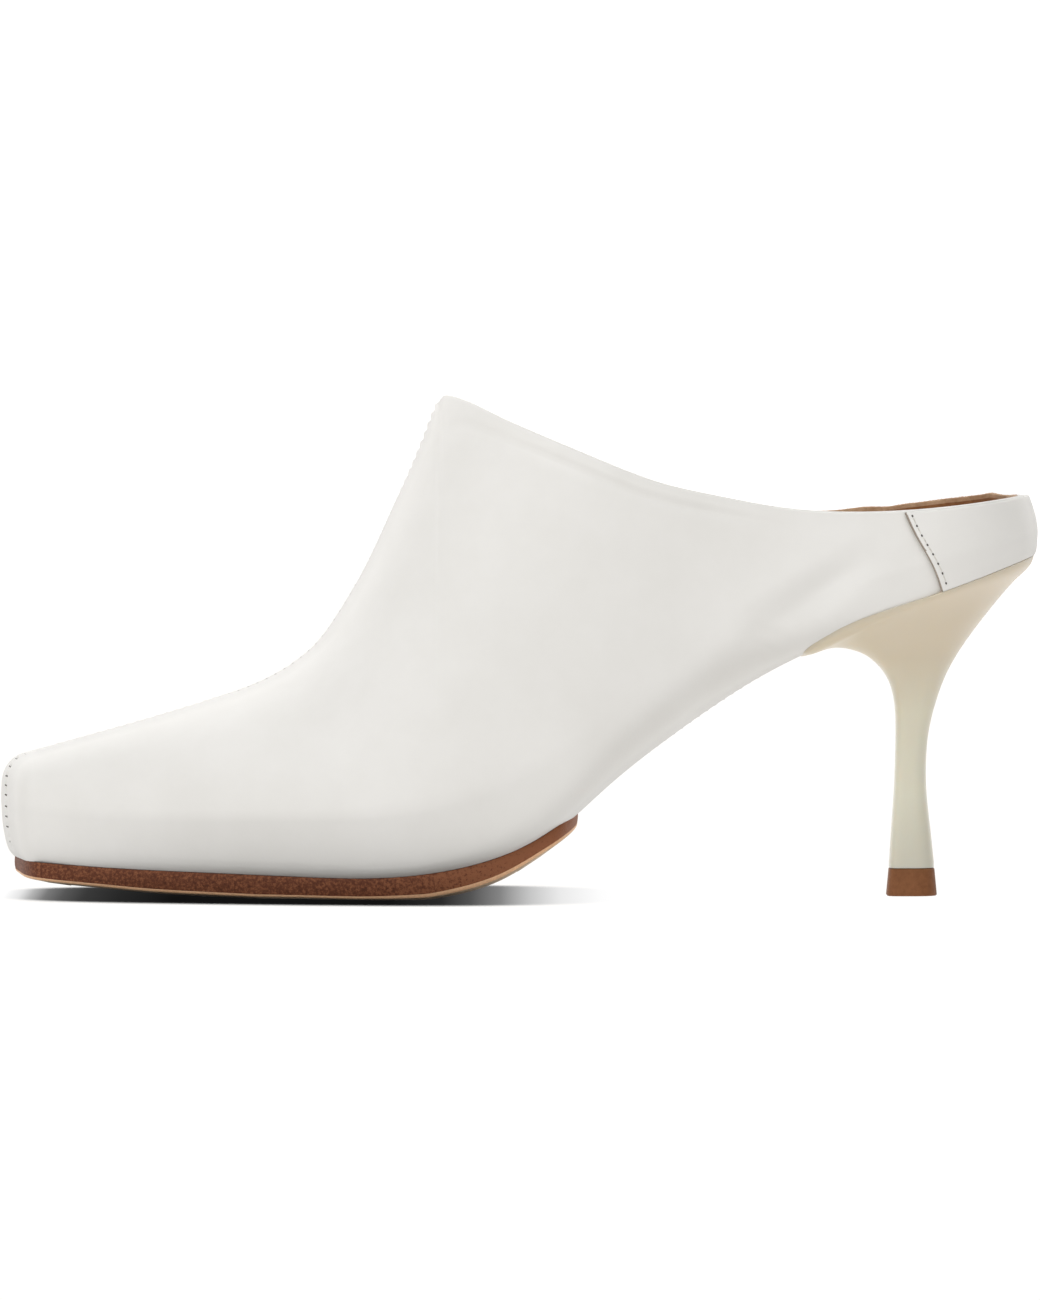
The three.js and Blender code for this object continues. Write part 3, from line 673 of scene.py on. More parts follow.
def sharpen(bm, angle):
    """Keep the corners of a piece crisp under smooth shading."""
    bm.normal_update()
    for edge in bm.edges:
        if len(edge.link_faces) == 2 and edge.calc_face_angle() > angle:
            edge.smooth = False


def rim_strip(outside, inside, normals, steps):
    """Rows that turn over an edge from one wall to the other, rounded outwards along the wall."""
    strips = []
    along = np.linspace(0, math.pi, steps + 1)
    half = (outside - inside) / 2
    middle = (outside + inside) / 2
    thick = np.linalg.norm(half, axis=1, keepdims=True)
    for angle in along:
        strips.append(middle + half * math.cos(angle) + normals * thick * math.sin(angle))
    return np.stack(strips, axis=1)


def up_the_wall(points):
    """Unit directions from the row below the rim to the rim."""
    direction = points[:, -1] - points[:, -3]
    return direction / np.maximum(np.linalg.norm(direction, axis=1, keepdims=True), 1e-9)


# Materials

def new_material(name):
    material = bpy.data.materials.new(name)
    material.use_nodes = True
    nodes = material.node_tree.nodes
    return material, nodes, material.node_tree.links, nodes["Principled BSDF"]


def set_inputs(node, values):
    """Set a node's inputs by their names."""
    for name, value in values.items():
        node.inputs[name].default_value = value


def object_axis(nodes, links, axis):
    """One coordinate of the object's own place."""
    place = nodes.new("ShaderNodeTexCoord")
    split = nodes.new("ShaderNodeSeparateXYZ")
    links.new(place.outputs["Object"], split.inputs["Vector"])
    return split.outputs[axis]


def blended(nodes, links, fine_noise, coarse_noise, share):
    """A share of one noise added to another."""
    blend = nodes.new("ShaderNodeMath")
    blend.operation = "MULTIPLY_ADD"
    blend.inputs[1].default_value = share
    links.new(fine_noise.outputs["Fac"], blend.inputs[0])
    links.new(coarse_noise.outputs["Fac"], blend.inputs[2])
    return blend.outputs["Value"]


def noise(nodes, links, scale, detail=3.0, roughness=0.5):
    """Noise on the object's own coordinates; scale is features per metre."""
    place = nodes.new("ShaderNodeTexCoord")
    texture = nodes.new("ShaderNodeTexNoise")
    set_inputs(texture, {"Scale": scale, "Detail": detail, "Roughness": roughness})
    links.new(place.outputs["Object"], texture.inputs["Vector"])
    return texture


def ramp(nodes, links, value, stops):
    """A colour ramp over a value; stops are (position, colour)."""
    node = nodes.new("ShaderNodeValToRGB")
    elements = node.color_ramp.elements
    for index, (position, colour) in enumerate(stops):
        element = elements[index] if index < 2 else elements.new(position)
        element.position = position
        element.color = (*colour, 1)
    links.new(value, node.inputs["Fac"])
    return node


def bump(nodes, links, height, strength, depth, below=None):
    node = nodes.new("ShaderNodeBump")
    set_inputs(node, {"Strength": strength, "Distance": depth * MM})
    links.new(height, node.inputs["Height"])
    if below is not None:
        links.new(below.outputs["Normal"], node.inputs["Normal"])
    return node


def painted_leather_shade(nodes, links):
    """Painted shade: a little darker where the leather faces down and where it turns away."""
    place = nodes.new("ShaderNodeNewGeometry")
    split = nodes.new("ShaderNodeSeparateXYZ")
    links.new(place.outputs["Normal"], split.inputs["Vector"])
    under = nodes.new("ShaderNodeMapRange")
    set_inputs(under, {"From Min": -1.0, "From Max": 0.05, "To Min": 0.8})
    links.new(split.outputs["Z"], under.inputs["Value"])
    edge = nodes.new("ShaderNodeLayerWeight")
    away = nodes.new("ShaderNodeMapRange")
    set_inputs(away, {"From Min": 0.72, "To Min": 1.0, "To Max": 0.84})
    links.new(edge.outputs["Facing"], away.inputs["Value"])
    both = nodes.new("ShaderNodeMath")
    both.operation = "MULTIPLY"
    links.new(under.outputs["Result"], both.inputs[0])
    links.new(away.outputs["Result"], both.inputs[1])
    return both.outputs["Value"]


def white_leather(name, light, dark):
    """Smooth full-grain leather: fine pores, a soft sheen, slightly uneven colour and painted shade where it
    faces down and where it turns away.
    """
    material, nodes, links, shader = new_material(name)
    mottling = noise(nodes, links, 45.0, 4.0, 0.6)
    tint = ramp(nodes, links, mottling.outputs["Fac"], [(0.3, dark), (0.7, light)])
    # Painted shade scales the colour: darker where the surface faces down and at its outline.
    shade = painted_leather_shade(nodes, links)
    darker = nodes.new("ShaderNodeVectorMath")
    darker.operation = "SCALE"
    links.new(tint.outputs["Color"], darker.inputs[0])
    links.new(shade, darker.inputs["Scale"])
    links.new(darker.outputs["Vector"], shader.inputs["Base Color"])
    place = nodes.new("ShaderNodeTexCoord")
    pores = nodes.new("ShaderNodeTexVoronoi")
    set_inputs(pores, {"Scale": 1500.0})
    links.new(place.outputs["Object"], pores.inputs["Vector"])
    creasing = noise(nodes, links, 420.0, 5.0, 0.6)
    grain = bump(nodes, links, pores.outputs["Distance"], 0.12, 0.05)
    relief = bump(nodes, links, creasing.outputs["Fac"], 0.14, 0.12, grain)
    links.new(relief.outputs["Normal"], shader.inputs["Normal"])
    shine = ramp(nodes, links, creasing.outputs["Fac"], [(0.3, (0.4,) * 3), (0.7, (0.5,) * 3)])
    links.new(shine.outputs["Color"], shader.inputs["Roughness"])
    set_inputs(shader, {"Specular IOR Level": 0.4, "Sheen Weight": 0.05})
    return material


def raw_suede(name, light, dark):
    """The brushed flesh side of leather."""
    material, nodes, links, shader = new_material(name)
    nap = noise(nodes, links, 900.0, 6.0, 0.7)
    cloud = noise(nodes, links, 90.0, 3.0, 0.6)
    blend = blended(nodes, links, nap, cloud, 0.6)
    tint = ramp(nodes, links, blend, [(0.55, dark), (1.0, light)])
    links.new(tint.outputs["Color"], shader.inputs["Base Color"])
    relief = bump(nodes, links, nap.outputs["Fac"], 0.6, 0.3)
    links.new(relief.outputs["Normal"], shader.inputs["Normal"])
    set_inputs(shader, {"Roughness": 0.95, "Sheen Weight": 0.35, "Sheen Roughness": 0.5})
    return material


def stained_edge():
    """The sole's edge: dark brown stain over cut fibres, with fine pale specks."""
    material, nodes, links, shader = new_material("stained edge")
    fibres = noise(nodes, links, 4200.0, 4.0, 0.7)
    cloud = noise(nodes, links, 1500.0, 3.0, 0.6)
    blend = blended(nodes, links, fibres, cloud, 0.7)
    stops = [(0.6, (0.08, 0.023, 0.01)), (0.85, (0.15, 0.046, 0.02)), (1.1, (0.27, 0.1, 0.045))]
    # Lighter towards the sole's rear end, along X.
    lighter_to_rear = nodes.new("ShaderNodeMapRange")
    set_inputs(lighter_to_rear, {"From Min": -0.035, "From Max": 0.012, "To Max": 0.33})
    links.new(object_axis(nodes, links, "X"), lighter_to_rear.inputs["Value"])
    lighter = nodes.new("ShaderNodeMath")
    lighter.operation = "ADD"
    links.new(blend, lighter.inputs[0])
    links.new(lighter_to_rear.outputs["Result"], lighter.inputs[1])
    tint = ramp(nodes, links, lighter.outputs["Value"], stops)
    links.new(tint.outputs["Color"], shader.inputs["Base Color"])
    relief = bump(nodes, links, fibres.outputs["Fac"], 0.35, 0.25)
    links.new(relief.outputs["Normal"], shader.inputs["Normal"])
    set_inputs(shader, {"Roughness": 0.6, "Specular IOR Level": 0.2})
    return material


def bare_sole():
    """Natural sole leather, with faint scuffs along its length."""
    material, nodes, links, shader = new_material("bare sole leather")
    fibres = noise(nodes, links, 700.0, 5.0, 0.7)
    tint = ramp(nodes, links, fibres.outputs["Fac"], [(0.3, (0.43, 0.3, 0.19)), (0.7, (0.66, 0.5, 0.35))])
    links.new(tint.outputs["Color"], shader.inputs["Base Color"])
    relief = bump(nodes, links, fibres.outputs["Fac"], 0.25, 0.15)
    links.new(relief.outputs["Normal"], shader.inputs["Normal"])
    set_inputs(shader, {"Roughness": 0.65})
    return material


def ivory_plastic():
    """The moulded heel: warm under the seat, paler and greener down the stem, with a little depth."""
    material, nodes, links, shader = new_material("ivory heel")
    height = nodes.new("ShaderNodeMath")
    height.operation = "MULTIPLY"
    height.inputs[1].default_value = 1 / (SEAT_HEIGHT * MM)
    links.new(object_axis(nodes, links, "Z"), height.inputs[0])
    stops = [
        (0.08, (0.6, 0.575, 0.48)),
        (0.3, (0.71, 0.695, 0.575)),
        (0.55, (0.7, 0.665, 0.53)),
        (0.72, (0.63, 0.55, 0.415)),
        (0.95, (0.65, 0.56, 0.43)),
    ]
    tint = ramp(nodes, links, height.outputs["Value"], stops)
    links.new(tint.outputs["Color"], shader.inputs["Base Color"])
    waves = noise(nodes, links, 60.0, 2.0, 0.4)
    relief = bump(nodes, links, waves.outputs["Fac"], 0.05, 0.2)
    links.new(relief.outputs["Normal"], shader.inputs["Normal"])
    set_inputs(shader, {
        "Roughness": 0.3,
        "Subsurface Weight": 0.35,
        "Subsurface Radius": (0.004, 0.003, 0.002),
        "Subsurface Scale": 1.0,
    })
    return material


def tip_rubber():
    material, nodes, links, shader = new_material("tip rubber")
    dust = noise(nodes, links, 800.0, 4.0, 0.6)
    tint = ramp(nodes, links, dust.outputs["Fac"], [(0.3, (0.18, 0.068, 0.024)), (0.7, (0.23, 0.09, 0.034))])
    links.new(tint.outputs["Color"], shader.inputs["Base Color"])
    relief = bump(nodes, links, dust.outputs["Fac"], 0.2, 0.1)
    links.new(relief.outputs["Normal"], shader.inputs["Normal"])
    set_inputs(shader, {"Roughness": 0.6, "Specular IOR Level": 0.25})
    return material


def plain(name, colour, roughness):
    """A small trim's finish: one colour, slightly uneven."""
    material, nodes, links, shader = new_material(name)
    speckle = noise(nodes, links, 2500.0, 2.0, 0.5)
    darker = tuple(0.8 * channel for channel in colour)
    tint = ramp(nodes, links, speckle.outputs["Fac"], [(0.3, darker), (0.7, colour)])
    links.new(tint.outputs["Color"], shader.inputs["Base Color"])
    set_inputs(shader, {"Roughness": roughness})
    return material


leather = white_leather("white leather", LEATHER_LIGHT, LEATHER_DARK)
cut_edge_and_painted_shadow = plain("cut edge and painted shadow", (0.34, 0.285, 0.235), 0.8)
suede = raw_suede("tan lining", (0.4, 0.19, 0.075), (0.2, 0.08, 0.026))
suede_edge = raw_suede("raw lining edge", (0.68, 0.47, 0.3), (0.4, 0.22, 0.11))
footbed_leather = raw_suede("footbed leather", (0.5, 0.31, 0.18), (0.38, 0.21, 0.11))
edge_stain = stained_edge()
edge_line = plain("edge top line", (0.07, 0.026, 0.016), 0.6)
tan_line = plain("trimmed edge", (0.85, 0.5, 0.28), 0.6)
sole_leather = bare_sole()
ivory = ivory_plastic()
rubber = tip_rubber()
thread = plain("thread", (0.74, 0.715, 0.655), 0.7)
# A dark bead at each needle hole: painted shadow in the hole.
painted_hole_shadow = plain("needle hole", (0.09, 0.08, 0.07), 0.9)


# The upper

fine = Form(26, STITCH_PITCH / 4, STITCH_PITCH / 3, 34, 18, 12, 50)


def crease_depth(points):
    """How far the soft creases press each point of the outer side in."""
    depth = np.zeros(points.shape[:2])
    for row in CREASES:
        start = np.array([row["x1"], row["z1"]])
        run = np.array([row["x2"], row["z2"]]) - start
        flat = points[:, :, [0, 2]] - start
        share = np.clip((flat @ run) / (run @ run), 0, 1)
        away = np.linalg.norm(flat - share[..., None] * run, axis=2)
        fade = np.sin(np.pi * np.clip(0.12 + 0.76 * share, 0, 1))
        trough = np.exp(-(away / row["wide"]) ** 2)
        banks = np.exp(-((away - 2 * row["wide"]) / row["wide"]) ** 2)
        depth += row["deep"] * fade * (trough - 0.5 * banks)
    return depth


def hump(away, shape):
    """A rounded rise of one depth, place and width."""
    return shape["deep"] * np.exp(-((away - shape["down"]) / shape["wide"]) ** 2)


def collar_roll(points, throat):
    """A soft groove below the topline and a fuller edge above it, where the leather is turned over."""
    press = np.zeros(points.shape[:2])
    rim = points[:, -1]
    slope = np.gradient(rim, axis=0)
    level = np.abs(slope[:, 0]) / np.maximum(np.linalg.norm(slope, axis=1), 1e-9)
    for i in range(throat, len(points)):
        reach = reach_along(points[i])
        below = (reach[-1] - reach) * max(level[i], 0.3)
        fade = straight(COLLAR_FADE, rim[i, 0], "share")
        press[i] = fade * (hump(below, COLLAR_GROOVE) - hump(below, COLLAR_SWELL))
    return press


def seam_distances(points, throat):
    """For each point: distance to the centre seam along the surface, and the place along the seam."""
    columns, rows = points.shape[:2]
    away = np.full((columns, rows), 99.0)
    run = np.zeros((columns, rows))
    front = reach_along(points[0])
    crest = reach_along(points[:throat + 1, -1])
    for i in range(throat + 1):
        reach = reach_along(points[i])
        away[i] = reach[-1] - reach
        run[i] = front[-1] + crest[i]
    keel_run = reach_along(points[:, 0])
    for i in range(columns):
        reach = reach_along(points[i])
        nearer = reach < away[i]
        away[i][nearer] = reach[nearer]
        run[i][nearer] = keel_run[i]
    for j in range(rows):
        reach = reach_along(points[:20, j])
        nearer = reach < away[:20, j]
        away[:20, j][nearer] = reach[nearer]
        run[:20, j][nearer] = front[j]
    return away, run


def pucker_depth(x):
    """How deep the stitches pull the leather in at a place: hardly at the toe, most near the collar."""
    return straight(PUCKERS, x, "deep")


def dress_side(form, sign):
    """The leather's own surface on one side: the last with its seam, its puckers and its creases."""
    points = form.points[sign]
    away, run = seam_distances(points, form.throat)
    groove = SEAM_GROOVE * np.exp(-(away / SEAM_GROOVE_WIDE) ** 2)
    pull = 0.5 * np.cos(2 * np.pi * run / STITCH_PITCH)
    pucker = pucker_depth(points[..., 0]) * np.exp(-(away / PUCKER_WIDE) ** 2) * pull
    press = groove + pucker + collar_roll(points, form.throat)
    if sign < 0:
        press = press + crease_depth(points)
    else:
        mirrored = points * np.array([1, -1, 1]) + np.array(INNER_CREASE_SHIFT)
        press = press + INNER_CREASE_SHARE * crease_depth(mirrored)
    return points - form.normals[sign] * press[..., None]


def add_wall(bm, throat, outsides, insides, inner_material):
    """A closed wall on both sides of the last, with a rounded edge along the collar."""
    for sign in (-1, 1):
        outside = outsides[sign]
        inside = insides[sign][:, ::-1]
        add_grid(bm, outside, flip=sign > 0)
        add_grid(bm, inside, flip=sign > 0, material=inner_material)
        strip = rim_strip(outside[throat:, -1], inside[throat:, 0], up_the_wall(outside)[throat:], 5)
        add_grid(bm, strip, flip=sign > 0)
    merge(bm)


def make_upper():
    outsides = {sign: dress_side(fine, sign) for sign in (-1, 1)}
    insides = {sign: fine.shrunk(sign, LEATHER, 16) for sign in (-1, 1)}
    bm = bmesh.new()
    add_wall(bm, fine.throat, outsides, insides, 1)
    new_piece("upper_leather", bm, [leather, suede], "upper_leather", "upper")


make_upper()


# The lining and its raw edge

soft = Form(12, 1.6, 1.25, 34, 7, 6, 30)


def uneven(count, size):
    """A slow random wander along an edge."""
    steps = noise_seed.normal(0, 1, count + 8)
    return np.convolve(steps, np.hanning(9) / 4.0, "valid")[:count] * size


def proud(x, sign):
    """How far the lining's raw edge stands above the leather: under it at the front, over it at the back."""
    high = LINING_PROUD if sign > 0 else 0.1
    heights = [LINING_SUNK, high, 1.2 * high, 1.4 * high, LINING_BACK]
    return np.interp(x, LINING_PROUD_AT, heights)


def raw_edge(points, throat, lift):
    """The wall with its rim raised by an uneven amount."""
    points = points.copy()
    direction = up_the_wall(points)
    direction[-1] = direction[-2]
    for row, share in ((-1, 1.0), (-3, 0.2)):
        points[throat:, row] += direction[throat:] * lift[:, None] * share
    points[throat:, -2] = points[throat:, -1] - direction[throat:] * RAW_EDGE
    return points


def make_lining():
    outsides = {}
    insides = {}
    for sign in (-1, 1):
        rim = soft.points[sign][soft.throat:, -1, 0]
        lift = proud(rim, sign) + uneven(len(rim), 0.2)
        lift[0] = LINING_SUNK
        lift[-1] = LINING_BACK
        outsides[sign] = raw_edge(soft.shrunk(sign, LEATHER + 0.05, LINING_ROWS), soft.throat, lift)
        insides[sign] = raw_edge(soft.shrunk(sign, LEATHER + LINING, LINING_ROWS), soft.throat, lift)
    bm = bmesh.new()
    add_wall(bm, soft.throat, outsides, insides, 0)
    for face in bm.faces:
        centre = face.calc_center_median() / MM
        rim = insides[1 if centre.y > 0 else -1][soft.throat:, -1]
        if centre.x > THROAT_X and centre.z > np.interp(centre.x, rim[:, 0], rim[:, 2]) - LIGHT_EDGE:
            face.material_index = 1
    new_piece("lining", bm, [suede, suede_edge], "upper_leather")
    return insides, outsides


lining_inside, lining_outside = make_lining()


def template(name, build):
    """A small mesh to be stamped many times."""
    bm = bmesh.new()
    build(bm)
    mesh = bpy.data.meshes.new(name)
    bm.to_mesh(mesh)
    bm.free()
    return mesh


def stamp(bm, mesh, matrix, material=0):
    """Add a copy of a template to a bmesh."""
    before = len(bm.faces)
    mesh.transform(matrix)
    bm.from_mesh(mesh)
    mesh.transform(matrix.inverted())
    if material:
        bm.faces.ensure_lookup_table()
        for face in bm.faces[before:]:
            face.material_index = material


def turned(origin, along, up, length, width):
    """A matrix that lays a template's X along one direction and its Z along another; sizes in millimetres."""
    x = Vector(along).normalized()
    y = Vector(up).cross(x).normalized()
    z = x.cross(y)
    turn = Matrix((x, y, z)).transposed().to_4x4()
    size = Matrix.Diagonal((length * MM, width * MM, width * MM, 1))
    return Matrix.Translation(Vector(origin) * MM) @ turn @ size


def make_fibres():
    """Short loose fibres along the raw edge of the lining."""
    fibre = template("fibre", lambda bm: bmesh.ops.create_cone(
        bm, segments=3, radius1=0.5, radius2=0.12, depth=1.0, cap_ends=True,
        matrix=Matrix.Translation((0.5, 0, 0)) @ Matrix.Rotation(math.pi / 2, 4, "Y")))
    bm = bmesh.new()
    for sign in (-1, 1):
        rim_out = lining_outside[sign][soft.throat:, -1]
        rim_in = lining_inside[sign][soft.throat:, -1]
        direction = up_the_wall(lining_inside[sign])[soft.throat:]
        direction[-1] = direction[-2]
        length = reach_along(rim_out)
        for _ in range(FIBRES_PER_SIDE):
            at = length[-1] * random.random() ** 0.5
            share = random.random()
            low, high, up = np.array(read_row(at, length, rim_out, rim_in, direction)).reshape(3, 3)
            lean = up + np.array([random.gauss(0, 0.5), random.gauss(0, 0.5), random.gauss(0, 0.35)])
            origin = low + (high - low) * share
            stamp(bm, fibre, turned(origin, lean, (0.3, 1, 0.2), random.uniform(0.3, 0.8), 0.1))
    new_piece("lining_fibres", bm, [suede_edge], "upper_leather")


make_fibres()


# The centre seam's stitches

def seam_track(form, sign, margin):
    """A line of points and normals beside the centre seam, with its place along the seam."""
    points = form.points[sign]
    normals = form.normals[sign]
    front = reach_along(points[0])
    crest = reach_along(points[:form.throat + 1, -1])
    track = []
    feather = int(np.argmin(np.abs(points[0, :, 2] - underside(station(FRONT_X)) - 1.2)))
    for j in range(feather, points.shape[1]):
        if front[-1] - front[j] > margin:
            reach = reach_along(points[:24, j])
            track.append((front[j], *read_row(margin, reach, points[:24, j], normals[:24, j])))
    for i in range(form.throat):
        if crest[i] > margin:
            reach = reach_along(points[i])
            spot = read_row(reach[-1] - margin, reach, points[i], normals[i])
            track.append((front[-1] + crest[i], *spot))
    return np.array(track)


def keel_track(form, sign, margin, from_x, to_x):
    """The same beside the seam under the waist."""
    points = form.points[sign]
    normals = form.normals[sign]
    run = reach_along(points[:, 0])
    track = []
    for i, place in enumerate(points[:, 0, 0]):
        if from_x < place < to_x:
            reach = reach_along(points[i])
            track.append((run[i], *read_row(margin, reach, points[i], normals[i])))
    return np.array(track)


def read_track(track, place):
    values = [np.interp(place, track[:, 0], track[:, k]) for k in range(1, 7)]
    return np.array(values[:3]), np.array(values[3:])


def sew(bm, track, places, sink, hole_length, hole_width):
    """Stitches between needle holes at the given places along a track, with a dark bead of painted shadow at
    each hole.
    """
    for here, after in zip(places, list(places[1:]) + [None]):
        spot, normal = read_track(track, here)
        ahead, _ = read_track(track, here + 0.3)
        pulled = 0.5 * pucker_depth(spot[0])
        hole_spot = spot - normal * (sink + 2.2 * pulled)
        stamp(bm, hole, turned(hole_spot, ahead - spot, normal, hole_length, hole_width), 1)
        if after is not None:
            half = (here + after) / 2
            middle, normal = read_track(track, half)
            ahead, _ = read_track(track, half + 0.3)
            long = after - here - 0.75 * hole_length
            origin = middle - normal * (sink + 0.1 + pulled)
            stamp(bm, stitch, turned(origin, ahead - middle, normal, long, 2 * THREAD))


def whole_pitches(track, pitch):
    """The places of a track's needle holes, in step with the puckers in the leather."""
    first = math.ceil(track[0, 0] / pitch)
    last = math.floor(track[-1, 0] / pitch)
    return [k * pitch for k in range(first, last + 1)]


stitch = template("stitch", lambda bm: bmesh.ops.create_uvsphere(bm, u_segments=8, v_segments=6, radius=0.5))
# The dark bead that stands for the shadow in a needle hole.
hole = template("hole", lambda bm: bmesh.ops.create_uvsphere(bm, u_segments=8, v_segments=5, radius=0.5))


def make_seam():
    bm = bmesh.new()
    for sign in (-1, 1):
        seam = seam_track(fine, sign, SEAM_MARGIN)
        under_waist = keel_track(fine, sign, SEAM_MARGIN, 14.5, 66.0)
        for track in (seam, under_waist):
            sew(bm, track, whole_pitches(track, STITCH_PITCH), -0.02, 0.5, 0.5)
    new_piece("centre_stitches", bm, [thread, painted_hole_shadow], "upper_leather")


make_seam()


# The band round the back


def band_side(form, sign, behind):
    """The band's outer face on one side: points and normals from a line behind its front edge to the back."""
    start = next(i for i, column in enumerate(form.columns) if column[0] > 78.0)
    outer = form.grown(sign, BAND_THICKNESS + 0.25)
    rows = []
    for points, normals in zip(outer[start:], form.normals[sign][start:]):
        reach = reach_along(points)
        foot = np.interp(0, points[:, 2] - seat_line(points[:, 0]) - 0.15, reach)
        goal = np.linspace(foot, reach[-1] - 0.15, BAND_ROWS + 1)
        both = np.concatenate([points, normals], axis=1)
        rows.append(np.stack([np.interp(goal, reach, both[:, k]) for k in range(6)], axis=1))
    ground = np.array(rows)
    place = np.arange(len(ground))
    made = np.zeros((BAND_COLUMNS + 1, BAND_ROWS + 1, 6))
    for r in range(BAND_ROWS + 1):
        edge = np.interp(band_edge_x(r / BAND_ROWS) + behind, ground[:, r, 0], place)
        goal = edge + (place[-1] - edge) * np.arange(BAND_COLUMNS + 1) / BAND_COLUMNS
        for k in range(6):
            made[:, r, k] = np.interp(goal, place, ground[:, r, k])
    return made[..., :3], made[..., 3:]


def make_band():
    bm = bmesh.new()
    sides = {sign: band_side(fine, sign, 0.0)[0] for sign in (-1, 1)}
    back = (sides[-1][-1] + sides[1][-1]) / 2
    for sign, points in sides.items():
        points[-1] = back
        add_grid(bm, points, flip=sign > 0)
    merge(bm)
    bmesh.ops.solidify(bm, geom=bm.faces[:], thickness=(BAND_THICKNESS + 0.2) * MM)
    bm.normal_update()
    corners = [edge for edge in bm.edges if len(edge.link_faces) == 2 and edge.calc_face_angle() > 1.0]
    bmesh.ops.bevel(bm, geom=corners, offset=0.28 * MM, segments=3, profile=0.5, affect="EDGES", material=-1)
    bm.normal_update()
    for face in bm.faces:
        centre = face.calc_center_median() / MM
        front = sides[-1 if centre.y < 0 else 1][0]
        edge_x = np.interp(centre.z, front[:, 2], front[:, 0])
        # The cut front edge and a strip beside it take the darker finish: the cut face and a painted shadow
        # line.
        if centre.x < edge_x + CUT_EDGE_AND_SHADOW:
            face.material_index = 1
    new_piece("back_band", bm, [leather, cut_edge_and_painted_shadow], "band_leather", "heel_band")


def make_band_stitches():
    bm = bmesh.new()
    for sign in (-1, 1):
        points, normals = band_side(fine, sign, BAND_MARGIN)
        line = points[0][::-1] + normals[0][::-1] * 0.03
        reach = reach_along(line)
        track = np.column_stack([reach, line, normals[0][::-1]])
        sew(bm, track, np.arange(1.0, reach[-1] - 0.5, BAND_PITCH), 0.0, 0.66, 0.42)
    new_piece("band_stitches", bm, [thread, painted_hole_shadow], "band_leather")


make_band()
make_band_stitches()


# The sole

bevel_height = curve(BEVEL_HEIGHT, lambda row: row["high"])


def sole_share(at):
    """The share of the half width that the upper has where the sole's edge meets it."""
    level = 1 - SOLE_EDGE_RISE / belly(at)
    return (1 - level ** keel(at)) ** (1 / keel(at)) * (1 - (1 - tuck(at)) * level)


def sole_outline(inset, sign):
    """One side of the outline from the middle of the toe to the middle of the rear end."""
    toe_x = FRONT_X + SOLE_TOE_INSET + SOLE_TOE["depth"]
    rear_x = FRONT_X + SOLE_END_AT * SHOE_LENGTH - SOLE_REAR["depth"]
    toe = end_cap(SOLE_TOE, toe_x, -1, TOE_WIDTH / 2, graded(18, 1.0))
    rear = end_cap(SOLE_REAR, rear_x, 1, WAIST_WIDTH / 2, graded(22, 1.0))[::-1]
    straight = [(x, 1.0, 1.0) for x in np.linspace(toe_x, rear_x, 90)[1:-1]]
    side = outer_side if sign < 0 else inner_side
    line = []
    for x, narrow, _ in toe + straight + rear:
        at = station(x)
        line.append((x, middle_line(at) * (1 - narrow) + sign * narrow * side(at) * sole_share(at)))
    line = np.array(line)
    along = np.gradient(line, axis=0)
    along /= np.maximum(np.linalg.norm(along, axis=1, keepdims=True), 1e-9)
    inward = np.stack([-along[:, 1], along[:, 0]], axis=1) * -sign
    inward[0] = (1, 0)
    inward[-1] = (-1, 0)
    moved = line + inward * inset
    middle = middle_line(station(moved[:, 0]))
    moved[:, 1] = np.where((moved[:, 1] - middle) * sign < 0, middle, moved[:, 1])
    moved[:, 0] += toe_slant(moved[:, 0], moved[:, 1])
    return moved


def make_sole():
    bm = bmesh.new()
    for sign in (-1, 1):
        rows = []
        finishes = []
        for part, table in (("edge", SOLE_SECTION), ("turn", SOLE_TURN)):
            for row in table:
                line = sole_outline(row["inset"], sign)
                at = station(line[:, 0])
                camber = SOLE_CAMBER - 0.3 * np.exp(-((at - SOLE_LOWEST_AT) / 0.05) ** 2)
                bottom = np.maximum(sole_underside(at), 0) + camber * row["camber"]
                top = underside(at) + SOLE_EDGE_RISE + 0.15
                high = bevel_height(at)
                z = bottom + high * row["up"]
                if part == "edge":
                    z = bottom + high + (top - bottom - high) * row["up"]
                if row["inset"] > 0.9 and part == "edge":
                    z = underside(at) - 0.12
                rows.append(np.column_stack([line, z]))
                finishes.append(row["finish"])
        first, last = (sole_middle(rows[i]) for i in (0, -1))
        last[:, 2] = np.maximum(sole_underside(station(last[:, 0])), 0)
        grid = np.stack([first] + rows + [last], axis=1)
        for j, finish in enumerate(finishes + [1]):
            add_grid(bm, grid[:, j:j + 2], flip=sign < 0, material=finish)
    merge(bm)
    new_piece("half_sole", bm, [edge_stain, sole_leather, edge_line, tan_line], "sole_leather", "sole")


def sole_middle(row):
    middle = row.copy()
    middle[:, 1] = middle_line(station(middle[:, 0]))
    return middle


make_sole()


# The footbed

def footbed_edge(sign, height):
    """The line on the lining's inside at one height over the underside."""
    line = []
    for points, at in zip(lining_inside[sign][footbed_from:], soft_at[footbed_from:]):
        goal = underside(at) + height
        line.append([np.interp(goal, points[:, 2], points[:, axis]) for axis in (0, 1)] + [goal])
    return np.array(line)


